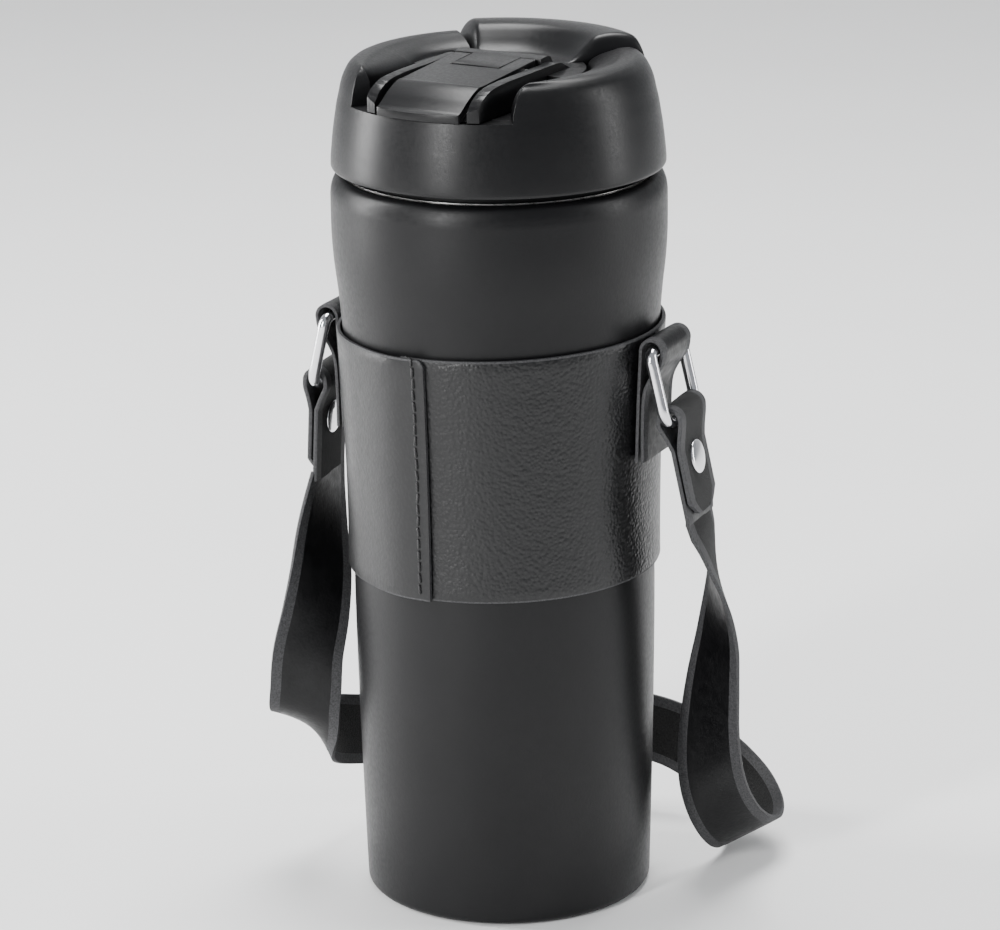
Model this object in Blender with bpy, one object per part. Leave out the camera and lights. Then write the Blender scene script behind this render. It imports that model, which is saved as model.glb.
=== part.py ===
"""Vacuum travel mug with a screw lid, a flip lever, a leather sleeve and a carrying strap.

Lengths are millimetres in this file and become metres when a mesh is made.
The origin is the centre of the base, +Z is up, and the drinking side faces -Y.
"""

import math

import bmesh
import bpy
from mathutils import Vector

MM = 0.001
ROUND = 36                      # facets of a full turn
GAP = 0.3                       # space between two touching pieces

# Bottle
WALL = 0.8                      # steel wall
MOUTH_Z = 174.8                 # top of the painted shell
BODY_RADIUS = 39.15             # widest radius of the painted shell
FOOT_Z = 3.0                    # where the rounded foot meets the wall
NECK_Z = MOUTH_Z - 5.3          # where the wall turns in to the mouth
SHELL_OUTLINE = [               # height, radius of the painted outside
    (FOOT_Z, BODY_RADIUS - 5.05), (15.5, BODY_RADIUS - 4.68), (28.0, BODY_RADIUS - 4.35),
    (49.0, BODY_RADIUS - 3.85), (73.0, BODY_RADIUS - 3.5), (90.0, BODY_RADIUS - 3.6),
    (105.0, BODY_RADIUS - 3.4), (122.0, BODY_RADIUS - 2.85), (MOUTH_Z - 37.8, BODY_RADIUS - 2.1),
    (MOUTH_Z - 27.8, BODY_RADIUS - 1.3), (MOUTH_Z - 20.3, BODY_RADIUS - 0.45),
    (MOUTH_Z - 13.8, BODY_RADIUS - 0.05), (NECK_Z, BODY_RADIUS),
]
SHELL_HEIGHTS = [FOOT_Z, 15.5, 45.0, 73.0, 90.0, 106.0, 122.0, 134.0]
UPPER_HEIGHTS = [MOUTH_Z - 27.8, MOUTH_Z - 20.3, MOUTH_Z - 13.8, NECK_Z]
FOOT_RADIUS = BODY_RADIUS - 6.15     # outer edge of the flat that the mug stands on
FOOT_CORNER = 0.75
BASE_HOLE = FOOT_RADIUS - 4.0   # the base plate closes this opening
BASE_THICK = 1.2
LIP_RADIUS = BODY_RADIUS - 2.95      # inner edge of the shell's rolled mouth
MOUTH_RADIUS = LIP_RADIUS - 1.2      # bore of the mouth
SEAL_RADIUS = MOUTH_RADIUS - 0.9     # bore below the thread, where the gasket sits
SEAL_TOP_Z = MOUTH_Z - 12.0
SEAL_LOW_Z = MOUTH_Z - 17.8
VACUUM_SPACE = 3.0              # between the two walls of the bottle
LINER_HEIGHTS = [MOUTH_Z - 29.8, 128.0, 100.0, 60.0, 20.0]
LINER_FLOOR_Z = 8.0
LINER_CORNER = 8.0
GETTER_RADIUS = 6.0
GETTER_THICK = 2.2

# Thread of the lid: two starts, right-handed
LEAD = 8.0
THREAD_SWEEP = 150.0            # degrees of each start
THREAD_FADE = 15.0              # degrees over which a ridge rises to its full height
THREAD_Z = MOUTH_Z - 7.3        # centre of the mouth's ridge where it starts
RIDGE_BASE = 2.0
RIDGE_TIP = 1.0
MOUTH_RIDGE = 0.9
PLUG_RIDGE = 1.0

# Lid
LID_Z = MOUTH_Z + 1.8           # lower edge of the lid
LID_FLOOR_Z = LID_Z + 16.7      # floor of the wells beside the bridge, and of the front notch
LID_TOP_RADIUS = BODY_RADIUS - 2.4   # outside of the lid at its floor
LID_OUTLINE = [                 # height, radius of the lid's outside
    (LID_Z, BODY_RADIUS - 0.55), (LID_Z + 0.8, BODY_RADIUS - 0.25), (LID_Z + 4.6, BODY_RADIUS - 0.53),
    (LID_Z + 8.4, BODY_RADIUS - 0.95), (LID_Z + 12.4, BODY_RADIUS - 1.55),
    (LID_Z + 14.8, BODY_RADIUS - 1.95), (LID_FLOOR_Z, LID_TOP_RADIUS),
]
LID_WALL = 2.2
WELL_RADIUS = BODY_RADIUS - 18.15    # wall of the wells toward the back
WELL_WIDEST = BODY_RADIUS - 7.65
WELL_HALF = 20.7                # wall of the wells beside the bridge
RIM_OUTLINE = [                 # radius, height over the rim, from outside to inside
    (LID_TOP_RADIUS - 0.65, LID_FLOOR_Z + 2.9), (LID_TOP_RADIUS - 1.35, LID_FLOOR_Z + 4.8),
    (LID_TOP_RADIUS - 2.45, LID_FLOOR_Z + 6.7), (LID_TOP_RADIUS - 3.75, LID_FLOOR_Z + 7.8),
    (LID_TOP_RADIUS - 5.55, LID_FLOOR_Z + 8.5), (LID_TOP_RADIUS - 7.75, LID_FLOOR_Z + 8.4),
    (LID_TOP_RADIUS - 9.25, LID_FLOOR_Z + 7.9), (WELL_RADIUS + 3.2, LID_FLOOR_Z + 6.9),
    (WELL_RADIUS + 1.0, LID_FLOOR_Z + 5.5), (WELL_RADIUS, LID_FLOOR_Z + 3.2),
]
RIM_TOP_Z = RIM_OUTLINE[4][1] + 0.1
NOTCH_HALF = 35.2               # degrees, at the floor of the front notch
NOTCH_SLOPE = 9.0               # degrees over which its wall rises
HUMP_HALF = 45.0                # degrees, half of the raised piece at the back
HUMP_ROUND = 6.0                # degrees over which its end rises
HUMP_GAP = 0.8                  # degrees between its end and the rim
HUMP_SLOPE = 2.0                # degrees over which the rim rises beside it
PLATFORM_Z = LID_FLOOR_Z + 5.3  # the flat in front of the hump
HUMP_OUTLINE = [                # radius, height over the hump, from inside to outside
    (WELL_RADIUS - 3.5, PLATFORM_Z + 0.3), (WELL_RADIUS - 1.5, PLATFORM_Z + 1.4),
    (WELL_RADIUS + 0.8, PLATFORM_Z + 3.4), (WELL_RADIUS + 2.8, PLATFORM_Z + 5.0),
    (WELL_RADIUS + 4.8, PLATFORM_Z + 5.7), (WELL_RADIUS + 8.0, PLATFORM_Z + 5.9),
    (LID_TOP_RADIUS - 4.15, PLATFORM_Z + 5.4), (LID_TOP_RADIUS - 2.35, PLATFORM_Z + 4.3),
    (LID_TOP_RADIUS - 1.45, PLATFORM_Z + 2.4), (LID_TOP_RADIUS - 1.15, PLATFORM_Z + 0.4),
    (LID_TOP_RADIUS - 0.35, LID_FLOOR_Z + 2.6), (LID_TOP_RADIUS - 0.05, LID_FLOOR_Z + GAP),
]

# Plug under the lid
PLUG_RADIUS = MOUTH_RADIUS - 1.4
PLUG_WALL = 1.8
PLUG_FLOOR = 2.0
PLUG_BOTTOM_Z = MOUTH_Z - 17.3
GROOVE_LOW_Z = PLUG_BOTTOM_Z + 1.8
GROOVE_TOP_Z = PLUG_BOTTOM_Z + 5.1
GROOVE_RADIUS = PLUG_RADIUS - 2.0
FLANGE_Z = LID_Z + 0.4
FLANGE_THICK = 2.2
SPOUT_Y = -24.0
SPOUT_RADIUS = 4.2
TUBE_RADIUS = 5.0
VENT_Y = -14.5
VENT_RADIUS = 2.4

# Bridge and flip lever
BRIDGE_HALF = 14.6
CHANNEL_HALF = 12.0
CHANNEL_FLOOR_Z = LID_FLOOR_Z + 2.7
RIDGE_TOP_Z = LID_FLOOR_Z + 7.3
LEVER_HALF = 10.6
LEVER_THICK = 2.6
PIN_Y = -5.5
PIN_Z = LID_FLOOR_Z + 6.0
PIN_RADIUS = 1.0
PIN_HALF = 11.2
PIN_COVER = 2.0                 # from the pin's axis up to the lever's top
TONGUE_HALF = 6.2
LEVER_SLOPE = 0.064             # rise of the lever's top toward the back
LEVER_BOSS = 2.2                # radius round the pin
TONGUE_FRONT = 4.5              # from the pin's axis
TONGUE_CLEAR = 5.3
TIP_RADIUS = BODY_RADIUS - 1.55
NOSE = [                        # back from the lever's tip, height over the floor, along its bent front
    (8.6, 6.0), (6.1, 4.8), (4.0, 3.5), (2.3, 2.4), (1.0, 2.1), (-1.4, 1.7),
]
NOSE_UNDER = [(3.8, 1.0), (5.8, 2.3), (8.1, 3.4), (10.6, 4.0)]
BRIDGE_FRONT = [                # the same for the ridges beside it
    (0.1, GAP), (2.0, 1.1), (3.2, 2.9), (5.2, 4.9), (8.1, 6.3), (11.6, 7.0),
]
CHANNEL_FRONT = [(4.0, 0.7), (6.1, 1.9), (9.1, 2.7)]

# Leather
SLEEVE_LOW_Z = 80.0
SLEEVE_TOP_Z = 140.0
SLEEVE_THICK = 1.0
STRAP_HALF = 8.6
STRAP_THICK = 1.2
TAB_HALF = 8.2
TAB_THICK = 0.9
TAB_LENGTH = 26.7               # from the bar down to the tab's lower edge
TAB_SLACK = 0.8                 # room round the bar inside the tab's fold

# D-rings
RING_ANGLE = 4.5                # degrees, from +X to the right-hand tab
RING_YAW = 4.0                  # degrees that the ring turns in its loose tab
WIRE_RADIUS = 1.4
BAR_Z = SLEEVE_TOP_Z - 2.8
RING_PLAY = 0.4                 # room beside the strap inside the ring
RING_HALF = STRAP_HALF + RING_PLAY + WIRE_RADIUS     # from the middle of the ring to that of its leg
RING_DROP = 17.5                # from the bar to the bottom wire
RING_TILT = 13.0                # degrees out from hanging straight down
RING_CORNER = 4.5
BAR_CORNER = 2.0
LOOP_SLACK = 0.6                # room round the wire inside the strap's fold
LOOP_RISE = 1.1                 # the fold rides on the ring's rounded corners
END_LEAN = {"right": 12.0, "left": 3.0}    # degrees that the strap's ends lean out
END_INSET = 0.5                 # from the wire in to the band that hangs from it
RIVET_DROP = 9.7                # from the wire down to the rivet
TAIL_DROP = 21.7                # from the wire down to the tail's point
TAIL_POINT = 3.4
TAIL_TIP_HALF = 4.6
BAND_DROP = 23.7
RIVET_RADIUS = 4.0
RIVET_DOME = 1.5
POST_RADIUS = 1.2
SIDES = (("right", RING_ANGLE), ("left", 180.0 + RING_ANGLE))


def clear_scene():
    """Remove whatever the file opened with."""
    for thing in list(bpy.data.objects):
        bpy.data.objects.remove(thing, do_unlink=True)


def material(name, colour, roughness, metallic=0.0):
    """One Principled BSDF material."""
    made = bpy.data.materials.new(name)
    made.use_nodes = True
    shader = made.node_tree.nodes["Principled BSDF"]
    shader.inputs["Base Color"].default_value = (*colour, 1.0)
    shader.inputs["Roughness"].default_value = roughness
    shader.inputs["Metallic"].default_value = metallic
    made.diffuse_color = (*colour, 1.0)
    return made


def solid(name, points, faces, finish, parent=None):
    """A closed mesh object from points in millimetres; repeated points become one."""
    shape = bmesh.new()
    corners = [shape.verts.new(Vector(point) * MM) for point in points]
    for face in faces:
        shape.faces.new([corners[i] for i in face])
    bmesh.ops.remove_doubles(shape, verts=shape.verts, dist=0.002 * MM)
    bmesh.ops.dissolve_degenerate(shape, edges=shape.edges, dist=0.001 * MM)
    axis_edges = [edge for edge in shape.edges if not edge.link_faces]
    bmesh.ops.delete(shape, geom=axis_edges, context="EDGES")
    bmesh.ops.recalc_face_normals(shape, faces=shape.faces)
    mesh = bpy.data.meshes.new(name)
    shape.to_mesh(mesh)
    shape.free()
    mesh.materials.append(finish)
    mesh.shade_smooth()
    mesh.set_sharp_from_angle(angle=math.radians(35))
    made = bpy.data.objects.new(name, mesh)
    bpy.context.scene.collection.objects.link(made)
    made.parent = parent
    return made


def strip_faces(rows, columns, closed_rows=False, closed_columns=True):
    """Quads between neighbouring rows of points that each have the same number of columns."""
    faces = []
    for i in range(rows if closed_rows else rows - 1):
        after = (i + 1) % rows
        for j in range(columns if closed_columns else columns - 1):
            beside = (j + 1) % columns
            faces.append([i * columns + j, after * columns + j, after * columns + beside, i * columns + beside])
    return faces


def turned(name, outline_at, finish, angles=None, parent=None):
    """Turn a closed outline of (radius, height) about Z; outline_at gives it for an angle in degrees.

    Without angles it is a full turn. With angles it is a sector with two flat ends.
    """
    whole = angles is None
    angles = angles or [360.0 * i / ROUND for i in range(ROUND)]
    points = []
    for angle in angles:
        turn = math.radians(angle)
        outline = outline_at(angle)
        points += [(r * math.cos(turn), r * math.sin(turn), z) for r, z in outline]
    count = len(outline)
    faces = strip_faces(len(angles), count, closed_rows=whole)
    if not whole:
        faces.append(list(range(count)))
        faces.append(list(range(len(points) - count, len(points))))
    return solid(name, points, faces, finish, parent)


def extruded(name, outline, low, high, finish, parent=None):
    """Extrude a closed (y, z) outline along X."""
    count = len(outline)
    points = [(x, y, z) for x in (low, high) for y, z in outline]
    faces = strip_faces(2, count)
    faces.append(list(range(count)))
    faces.append(list(range(count, 2 * count)))
    return solid(name, points, faces, finish, parent)


def rod(name, start, end, radius, finish, sides=16, parent=None):
    """A round bar from start to end."""
    start, end = Vector(start), Vector(end)
    along = (end - start).normalized()
    side = along.orthogonal().normalized()
    up = along.cross(side)
    points = []
    for centre in (start, end):
        for i in range(sides):
            turn = 2 * math.pi * (i + 0.37) / sides
            points.append(centre + radius * (math.cos(turn) * side + math.sin(turn) * up))
    faces = strip_faces(2, sides)
    faces.append(list(range(sides)))
    faces.append(list(range(sides, 2 * sides)))
    return solid(name, points, faces, finish, parent)


def combine(target, other, operation):
    """A Boolean whose other object is only a guide."""
    other.hide_render = True
    other.display_type = "WIRE"
    step = target.modifiers.new(other.name, "BOOLEAN")
    step.operation = operation
    step.solver = "EXACT"
    step.object = other


def smooth_between(knots, value):
    """A monotone-friendly curve through (position, value) knots."""
    if value <= knots[0][0]:
        return knots[0][1]
    if value >= knots[-1][0]:
        return knots[-1][1]
    for i in range(len(knots) - 1):
        if value <= knots[i + 1][0]:
            break
    (x0, y0), (x1, y1) = knots[i], knots[i + 1]
    before = knots[max(i - 1, 0)]
    after = knots[min(i + 2, len(knots) - 1)]
    slope0 = (y1 - before[1]) / (x1 - before[0])
    slope1 = (after[1] - y0) / (after[0] - x0)
    span = x1 - x0
    t = (value - x0) / span
    return (
        (2 * t**3 - 3 * t**2 + 1) * y0
        + (t**3 - 2 * t**2 + t) * span * slope0
        + (3 * t**2 - 2 * t**3) * y1
        + (t**3 - t**2) * span * slope1
    )


def shell_radius(z):
    """Radius of the painted outside at a height."""
    return smooth_between(SHELL_OUTLINE, z)


def thread_height(angle, first):
    """Centre of the ridge that passes an angle; two starts, half a turn apart."""
    return first + LEAD * (angle % 180.0) / 360.0


def thread_rise(angle):
    """Share of the full ridge height at an angle: it fades in and out at its ends."""
    place = angle % 180.0
    return max(0.0, min(1.0, place / THREAD_FADE, (THREAD_SWEEP - place) / THREAD_FADE))


def ridge_points(angle, first, wall, height):
    """Four (radius, height) points of a thread ridge, from top to bottom; negative height points in."""
    centre = thread_height(angle, first)
    tip = wall + height * thread_rise(angle)
    return [
        (wall, centre + RIDGE_BASE / 2), (tip, centre + RIDGE_TIP / 2),
        (tip, centre - RIDGE_TIP / 2), (wall, centre - RIDGE_BASE / 2),
    ]


def bottle_pieces(steel, paint, getter_finish):
    """The double-walled bottle."""
    outside = [(BASE_HOLE, 0.0), (FOOT_RADIUS, 0.0), (FOOT_RADIUS + FOOT_CORNER, FOOT_CORNER)]
    outside += [(shell_radius(z), z) for z in SHELL_HEIGHTS + UPPER_HEIGHTS]
    shoulder = [(BODY_RADIUS - 0.35, MOUTH_Z - 2.6), (BODY_RADIUS - 1.3, MOUTH_Z - 0.8), (LIP_RADIUS, MOUTH_Z)]
    inside = [(LIP_RADIUS, MOUTH_Z - WALL), (BODY_RADIUS - 1.6, MOUTH_Z - 1.8)]
    inside += [(BODY_RADIUS - 1.1, MOUTH_Z - 3.2)]
    inside += [(shell_radius(z) - WALL, z) for z in reversed(SHELL_HEIGHTS[::2] + UPPER_HEIGHTS)]
    inside += [(FOOT_RADIUS - 0.4, BASE_THICK), (BASE_HOLE, BASE_THICK)]
    shell = outside + shoulder + inside
    turned("outer_shell", lambda angle: shell, paint)

    plate_edge = BASE_HOLE - GAP
    plate = [(0.0, 0.0), (plate_edge, 0.0), (plate_edge, BASE_THICK), (0.0, BASE_THICK)]
    turned("base_plate", lambda angle: plate, paint)
    turned("inner_liner", liner_outline, steel)

    low = BASE_THICK + GAP
    getter = [(0.0, low), (GETTER_RADIUS, low), (GETTER_RADIUS, low + GETTER_THICK - 0.6)]
    getter += [(GETTER_RADIUS - 0.6, low + GETTER_THICK), (0.0, low + GETTER_THICK)]
    turned("getter", lambda angle: getter, getter_finish)


def liner_outline(angle):
    """Cross-section of the inner wall, with the thread's ridge in its mouth."""
    inset = 2 * WALL + VACUUM_SPACE
    bore = [(MOUTH_RADIUS + 0.3, MOUTH_Z + 0.2), (MOUTH_RADIUS, MOUTH_Z - 0.3)]
    bore += ridge_points(angle, THREAD_Z, MOUTH_RADIUS, -MOUTH_RIDGE)
    bore += [(MOUTH_RADIUS, SEAL_TOP_Z + WALL), (SEAL_RADIUS, SEAL_TOP_Z), (SEAL_RADIUS, SEAL_LOW_Z)]
    inner = [(shell_radius(z) - inset, z) for z in LINER_HEIGHTS]
    wall = inner[-1][0]
    inner += [(wall - 2.5, LINER_FLOOR_Z + 3.5)]
    inner += [(wall - LINER_CORNER, LINER_FLOOR_Z + WALL), (0.0, LINER_FLOOR_Z + WALL)]
    outer = [(0.0, LINER_FLOOR_Z), (wall - LINER_CORNER + 0.3, LINER_FLOOR_Z)]
    outer += [(wall - 2.5 + WALL, LINER_FLOOR_Z + 3.0)]
    outer += [(shell_radius(z) - inset + WALL, z) for z in reversed(LINER_HEIGHTS)]
    outer += [(SEAL_RADIUS + 0.7, SEAL_LOW_Z - 0.5), (SEAL_RADIUS + 0.7, SEAL_TOP_Z - 0.4)]
    outer += [(MOUTH_RADIUS + 0.7, SEAL_TOP_Z + 0.5), (MOUTH_RADIUS + 0.75, MOUTH_Z + 0.2)]
    return bore + inner + outer


def rim_cap(angle):
    """Height that the rim reaches at an angle in degrees from +X: lowered at the notch and the hump."""
    front = notch_wall(angle, -90.0, NOTCH_HALF, NOTCH_SLOPE)
    return min(front, notch_wall(angle, 90.0, HUMP_HALF + HUMP_GAP, HUMP_SLOPE))


def notch_wall(angle, middle, half, slope):
    """Height of the rim beside a notch: the floor inside it, a quarter-round rise, then the full rim."""
    away = abs((angle - middle + 180.0) % 360.0 - 180.0)
    share = max(0.0, min(1.0, (away - half) / slope))
    return LID_FLOOR_Z + (RIM_TOP_Z - LID_FLOOR_Z) * math.sqrt(1 - (1 - share) ** 2)


def lid_angles():
    """Facets of the lid's shell, with extra ones where the notches' walls rise."""
    angles = {360.0 * i / ROUND for i in range(ROUND)}
    for share in (0.0, 0.08, 0.35, 1.0):
        for side in (-1, 1):
            angles.add((270.0 + side * (NOTCH_HALF + share * NOTCH_SLOPE)) % 360.0)
            angles.add((90.0 + side * (HUMP_HALF + HUMP_GAP + share * HUMP_SLOPE)) % 360.0)
    for side in (-1, 1):
        angles.add((270.0 + side * (NOTCH_HALF + 4.0)) % 360.0)
        angles.add((90.0 + side * (HUMP_HALF + HUMP_GAP + 2 * HUMP_SLOPE)) % 360.0)
    kept = []
    for angle in sorted(angles):
        if not kept or angle - kept[-1] > 0.6:
            kept.append(angle)
    return kept


def well_radius(angle):
    """Radius of the wall round the wells: it opens out to run alongside the bridge at the front."""
    away = abs((angle - 270.0 + 180.0) % 360.0 - 180.0)
    if away > 90.0:
        return WELL_RADIUS
    return min(WELL_WIDEST, max(WELL_RADIUS, WELL_HALF / math.sin(math.radians(max(away, 20.0)))))


def rim_points(angle):
    """The lid's rim at an angle, from its outside over its top to the floor of the wells."""
    cap = rim_cap(angle)
    widest = RIM_OUTLINE[3][0]
    squeeze = (widest - well_radius(angle)) / (widest - WELL_RADIUS)
    points = []
    for r, z in RIM_OUTLINE:
        height = min(z, cap)
        if r > widest:
            points.append((lid_radius(height), height))
        else:
            points.append((widest - (widest - r) * squeeze, height))
    if cap < RIM_OUTLINE[3][1]:
        points[3] = (min(points[3][0], lid_radius(cap)), cap)
    return points


def top_height(points, r):
    """Height of a rim's surface at a radius."""
    for (r0, z0), (r1, z1) in zip(points, points[1:]):
        if r1 <= r <= r0 and r0 > r1:
            return z1 + (z0 - z1) * (r - r1) / (r0 - r1)
    return LID_FLOOR_Z


def lid_outline(angle):
    """Cross-section of the lid's shell: outer wall, hollow rim and floor."""
    outside = [(r, z) for z, r in LID_OUTLINE]
    over = rim_points(angle)
    well = well_radius(angle)
    low = LID_FLOOR_Z - LID_WALL
    floor = [(well, LID_FLOOR_Z), (0.0, LID_FLOOR_Z), (0.0, low)]
    neighbours = [rim_points(angle + shift) for shift in (-4.0, 0.0, 4.0)]
    start = min(well + LID_WALL, WELL_WIDEST + 2.1)
    end = lid_radius(low) - LID_WALL
    under = []
    for share in (0.0, 0.03, 0.45, 0.8, 0.97):
        r = start + (end - start) * share
        roof = min(top_height(points, r) for points in neighbours) - LID_WALL
        under.append((r, low if share == 0.0 else max(low, roof)))
    under.append((end, low))
    inside = [(r - LID_WALL, z) for z, r in reversed(LID_OUTLINE[:5])]
    return outside + over + floor + under + inside


def lid_radius(z):
    """Radius of the lid's outside at a height."""
    knots = LID_OUTLINE + [(height, radius) for radius, height in RIM_OUTLINE[:4]]
    return smooth_between(knots, z)


def lid_shell(plastic):
    """The outside of the lid, with its rim, its floor and the two holes in the floor."""
    angles = lid_angles()
    points = []
    for angle in angles:
        turn = math.radians(angle)
        outline = lid_outline(angle)
        points += [(r * math.cos(turn), r * math.sin(turn), z) for r, z in outline]
    faces = strip_faces(len(angles), len(outline), closed_rows=True)
    made = solid("lid_shell", points, faces, plastic)
    low, high = LID_FLOOR_Z - 5.0, LID_FLOOR_Z + 5.0
    spout = rod("cut_floor_spout", (0, SPOUT_Y, low), (0, SPOUT_Y, high), SPOUT_RADIUS, plastic)
    combine(made, spout, "DIFFERENCE")
    vent = rod("cut_floor_vent", (0, VENT_Y, low), (0, VENT_Y, high), VENT_RADIUS, plastic, 12)
    combine(made, vent, "DIFFERENCE")
    return made


def lid_plug(plastic):
    """The threaded plug under the lid, with the gasket's groove."""
    bore = PLUG_RADIUS - 2 * PLUG_WALL

    def outline(angle):
        flange_edge = lid_radius(FLANGE_Z) - LID_WALL - 2 * GAP
        top = [(bore + 1.0, FLANGE_Z + FLANGE_THICK), (flange_edge, FLANGE_Z + FLANGE_THICK)]
        top += [(flange_edge, FLANGE_Z), (PLUG_RADIUS, FLANGE_Z)]
        ridge = ridge_points(angle, THREAD_Z - LEAD / 4, PLUG_RADIUS, PLUG_RIDGE)
        groove = [(PLUG_RADIUS, GROOVE_TOP_Z), (GROOVE_RADIUS, GROOVE_TOP_Z), (GROOVE_RADIUS, GROOVE_LOW_Z)]
        groove += [(PLUG_RADIUS - 0.3, GROOVE_LOW_Z), (PLUG_RADIUS - 0.9, PLUG_BOTTOM_Z)]
        floor = PLUG_BOTTOM_Z + PLUG_FLOOR
        bottom = [(0.0, PLUG_BOTTOM_Z), (0.0, floor), (bore, floor)]
        return top + ridge + groove + bottom

    made = turned("lid_plug", outline, plastic)
    low, high = PLUG_BOTTOM_Z - 2.0, PLUG_BOTTOM_Z + 4.0
    cutter = rod("cut_plug_spout", (0, SPOUT_Y, low), (0, SPOUT_Y, high), SPOUT_RADIUS, plastic)
    combine(made, cutter, "DIFFERENCE")
    vent = rod("cut_plug_vent", (0, VENT_Y, low), (0, VENT_Y, high), VENT_RADIUS / 2, plastic, 12)
    combine(made, vent, "DIFFERENCE")
    return made


def lid_gasket(silicone):
    """The ring that seals the plug in the mouth; its middle is the lid's lifting body."""
    inner, outer = GROOVE_RADIUS + GAP, SEAL_RADIUS - GAP
    low, high = GROOVE_LOW_Z + GAP, GROOVE_TOP_Z - GAP
    middle = (low + high) / 2
    ring = [
        (inner, low), (outer - 0.4, low), (outer, low + 0.6), (outer - 0.5, middle),
        (outer, high - 0.6), (outer - 0.4, high), (inner, high),
    ]
    turned("lid_gasket", lambda angle: ring, silicone)


def drink_tube(plastic):
    """The channel from the bottom of the plug to the floor of the lid."""
    low, high = PLUG_BOTTOM_Z + PLUG_FLOOR + GAP, LID_FLOOR_Z - LID_WALL - GAP
    bore = SPOUT_RADIUS - 0.2
    ring = [(TUBE_RADIUS, low), (TUBE_RADIUS, high), (bore, high), (bore, low)]
    made = turned("drink_tube", lambda angle: ring, plastic)
    made.location = (0, SPOUT_Y * MM, 0)


def hump_outline(angle):
    """Cross-section of the bridge's rear platform and, near the back, of its raised hump."""
    base = LID_FLOOR_Z + GAP
    away = abs(angle - 90.0)
    rise = max(0.0, min(1.0, (HUMP_HALF - away) / HUMP_ROUND))
    rise = math.sqrt(1 - (1 - rise) ** 2)
    edge = WELL_RADIUS - 0.5
    outline = [(5.0, base), (5.0, PLATFORM_Z), (WELL_RADIUS - 7.0, PLATFORM_Z)]
    for r, z in HUMP_OUTLINE:
        inner = min(r, edge)
        spread = inner + (r - inner) * min(1.0, rise * 4)
        over = max(0.0, z - PLATFORM_Z)
        outline.append((spread, min(z, PLATFORM_Z) + over * rise))
    if rise == 0.0:
        outline = [(min(r, edge), min(z, PLATFORM_Z)) for r, z in outline]
        outline[-2] = (edge, PLATFORM_Z)
        outline[-1] = (edge, base)
    return outline


def nose_points(offsets):
    """Points (y, z) given as distance back from the lever's tip and height over the lid's floor."""
    return [(back - TIP_RADIUS, LID_FLOOR_Z + height) for back, height in offsets]


def hump_sweep():
    """Angles of the bridge's rear sector, closer together where the hump's ends rise."""
    half = [100.0, 85.0, 70.0, 58.0, 50.0]
    half += [HUMP_HALF - HUMP_ROUND * share for share in (0.0, 0.04, 0.15, 0.35, 0.65, 1.0)]
    half += [30.0, 20.0, 10.0]
    return [90.0 - away for away in half] + [90.0] + [90.0 + away for away in reversed(half)]


def lid_bridge(plastic):
    """The T-shaped insert: a bridge for the lever, and the raised hump behind it."""
    base = LID_FLOOR_Z + GAP
    side_view = nose_points(BRIDGE_FRONT)
    side_view += [(-20.0, RIDGE_TOP_Z), (-11.0, RIDGE_TOP_Z), (0.2, RIDGE_TOP_Z), (4.0, RIDGE_TOP_Z - 0.2)]
    side_view += [(6.0, PLATFORM_Z + 1.0), (8.0, PLATFORM_Z), (8.0, base)]
    made = extruded("lid_bridge", side_view, -BRIDGE_HALF, BRIDGE_HALF, plastic)
    edge, low, high = LID_TOP_RADIUS - 0.05, LID_FLOOR_Z - 10.0, LID_FLOOR_Z + 20.0
    bound = turned("bound_bridge", lambda a: [(0, low), (edge, low), (edge, high), (0, high)], plastic)
    combine(made, bound, "INTERSECT")
    hump = turned("add_hump", hump_outline, plastic, angles=hump_sweep())
    combine(made, hump, "UNION")
    plate_top = PIN_Z + PIN_COVER
    plate = [(-14.0, base + 1.0), (-14.0, plate_top - 0.3), (PIN_Y, plate_top), (0.0, plate_top + 0.35)]
    plate += [(3.6, plate_top + 0.55), (4.6, plate_top), (6.5, PLATFORM_Z + 0.2), (6.5, base + 1.0)]
    block = extruded("add_plate", plate, -CHANNEL_HALF + 0.5, CHANNEL_HALF - 0.5, plastic)
    combine(made, block, "UNION")
    front = PIN_Y - TONGUE_FRONT
    channel = [(-TIP_RADIUS - 8.0, low), (3.0 - TIP_RADIUS, low)] + nose_points(CHANNEL_FRONT)
    channel += [(front, CHANNEL_FLOOR_Z), (front, high), (-TIP_RADIUS - 8.0, high)]
    cutter = extruded("cut_channel", channel, -CHANNEL_HALF, CHANNEL_HALF, plastic)
    combine(made, cutter, "DIFFERENCE")
    pocket = [(front - 1.5, low), (0.0, low), (0.0, high), (front - 1.5, high)]
    for name, side in (("left", -1), ("right", 1)):
        start, end = sorted((side * TONGUE_HALF, side * CHANNEL_HALF))
        combine(made, extruded("cut_pocket_" + name, pocket, start, end, plastic), "DIFFERENCE")
    top = CHANNEL_FLOOR_Z + 2.0
    spout = rod("cut_bridge_spout", (0, SPOUT_Y, low), (0, SPOUT_Y, top), SPOUT_RADIUS, plastic)
    combine(made, spout, "DIFFERENCE")
    vent = rod("cut_bridge_vent", (0, VENT_Y, low), (0, VENT_Y, top), VENT_RADIUS, plastic, 12)
    combine(made, vent, "DIFFERENCE")
    half = TONGUE_HALF + 3.0
    bore = rod("cut_tongue_pin", (-half, PIN_Y, PIN_Z), (half, PIN_Y, PIN_Z), PIN_RADIUS + GAP, plastic)
    combine(made, bore, "DIFFERENCE")
    return made


def lever_top(y):
    """Height of the lever's flat top at a place along it."""
    return PIN_Z + PIN_COVER + LEVER_SLOPE * (y - PIN_Y)


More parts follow.
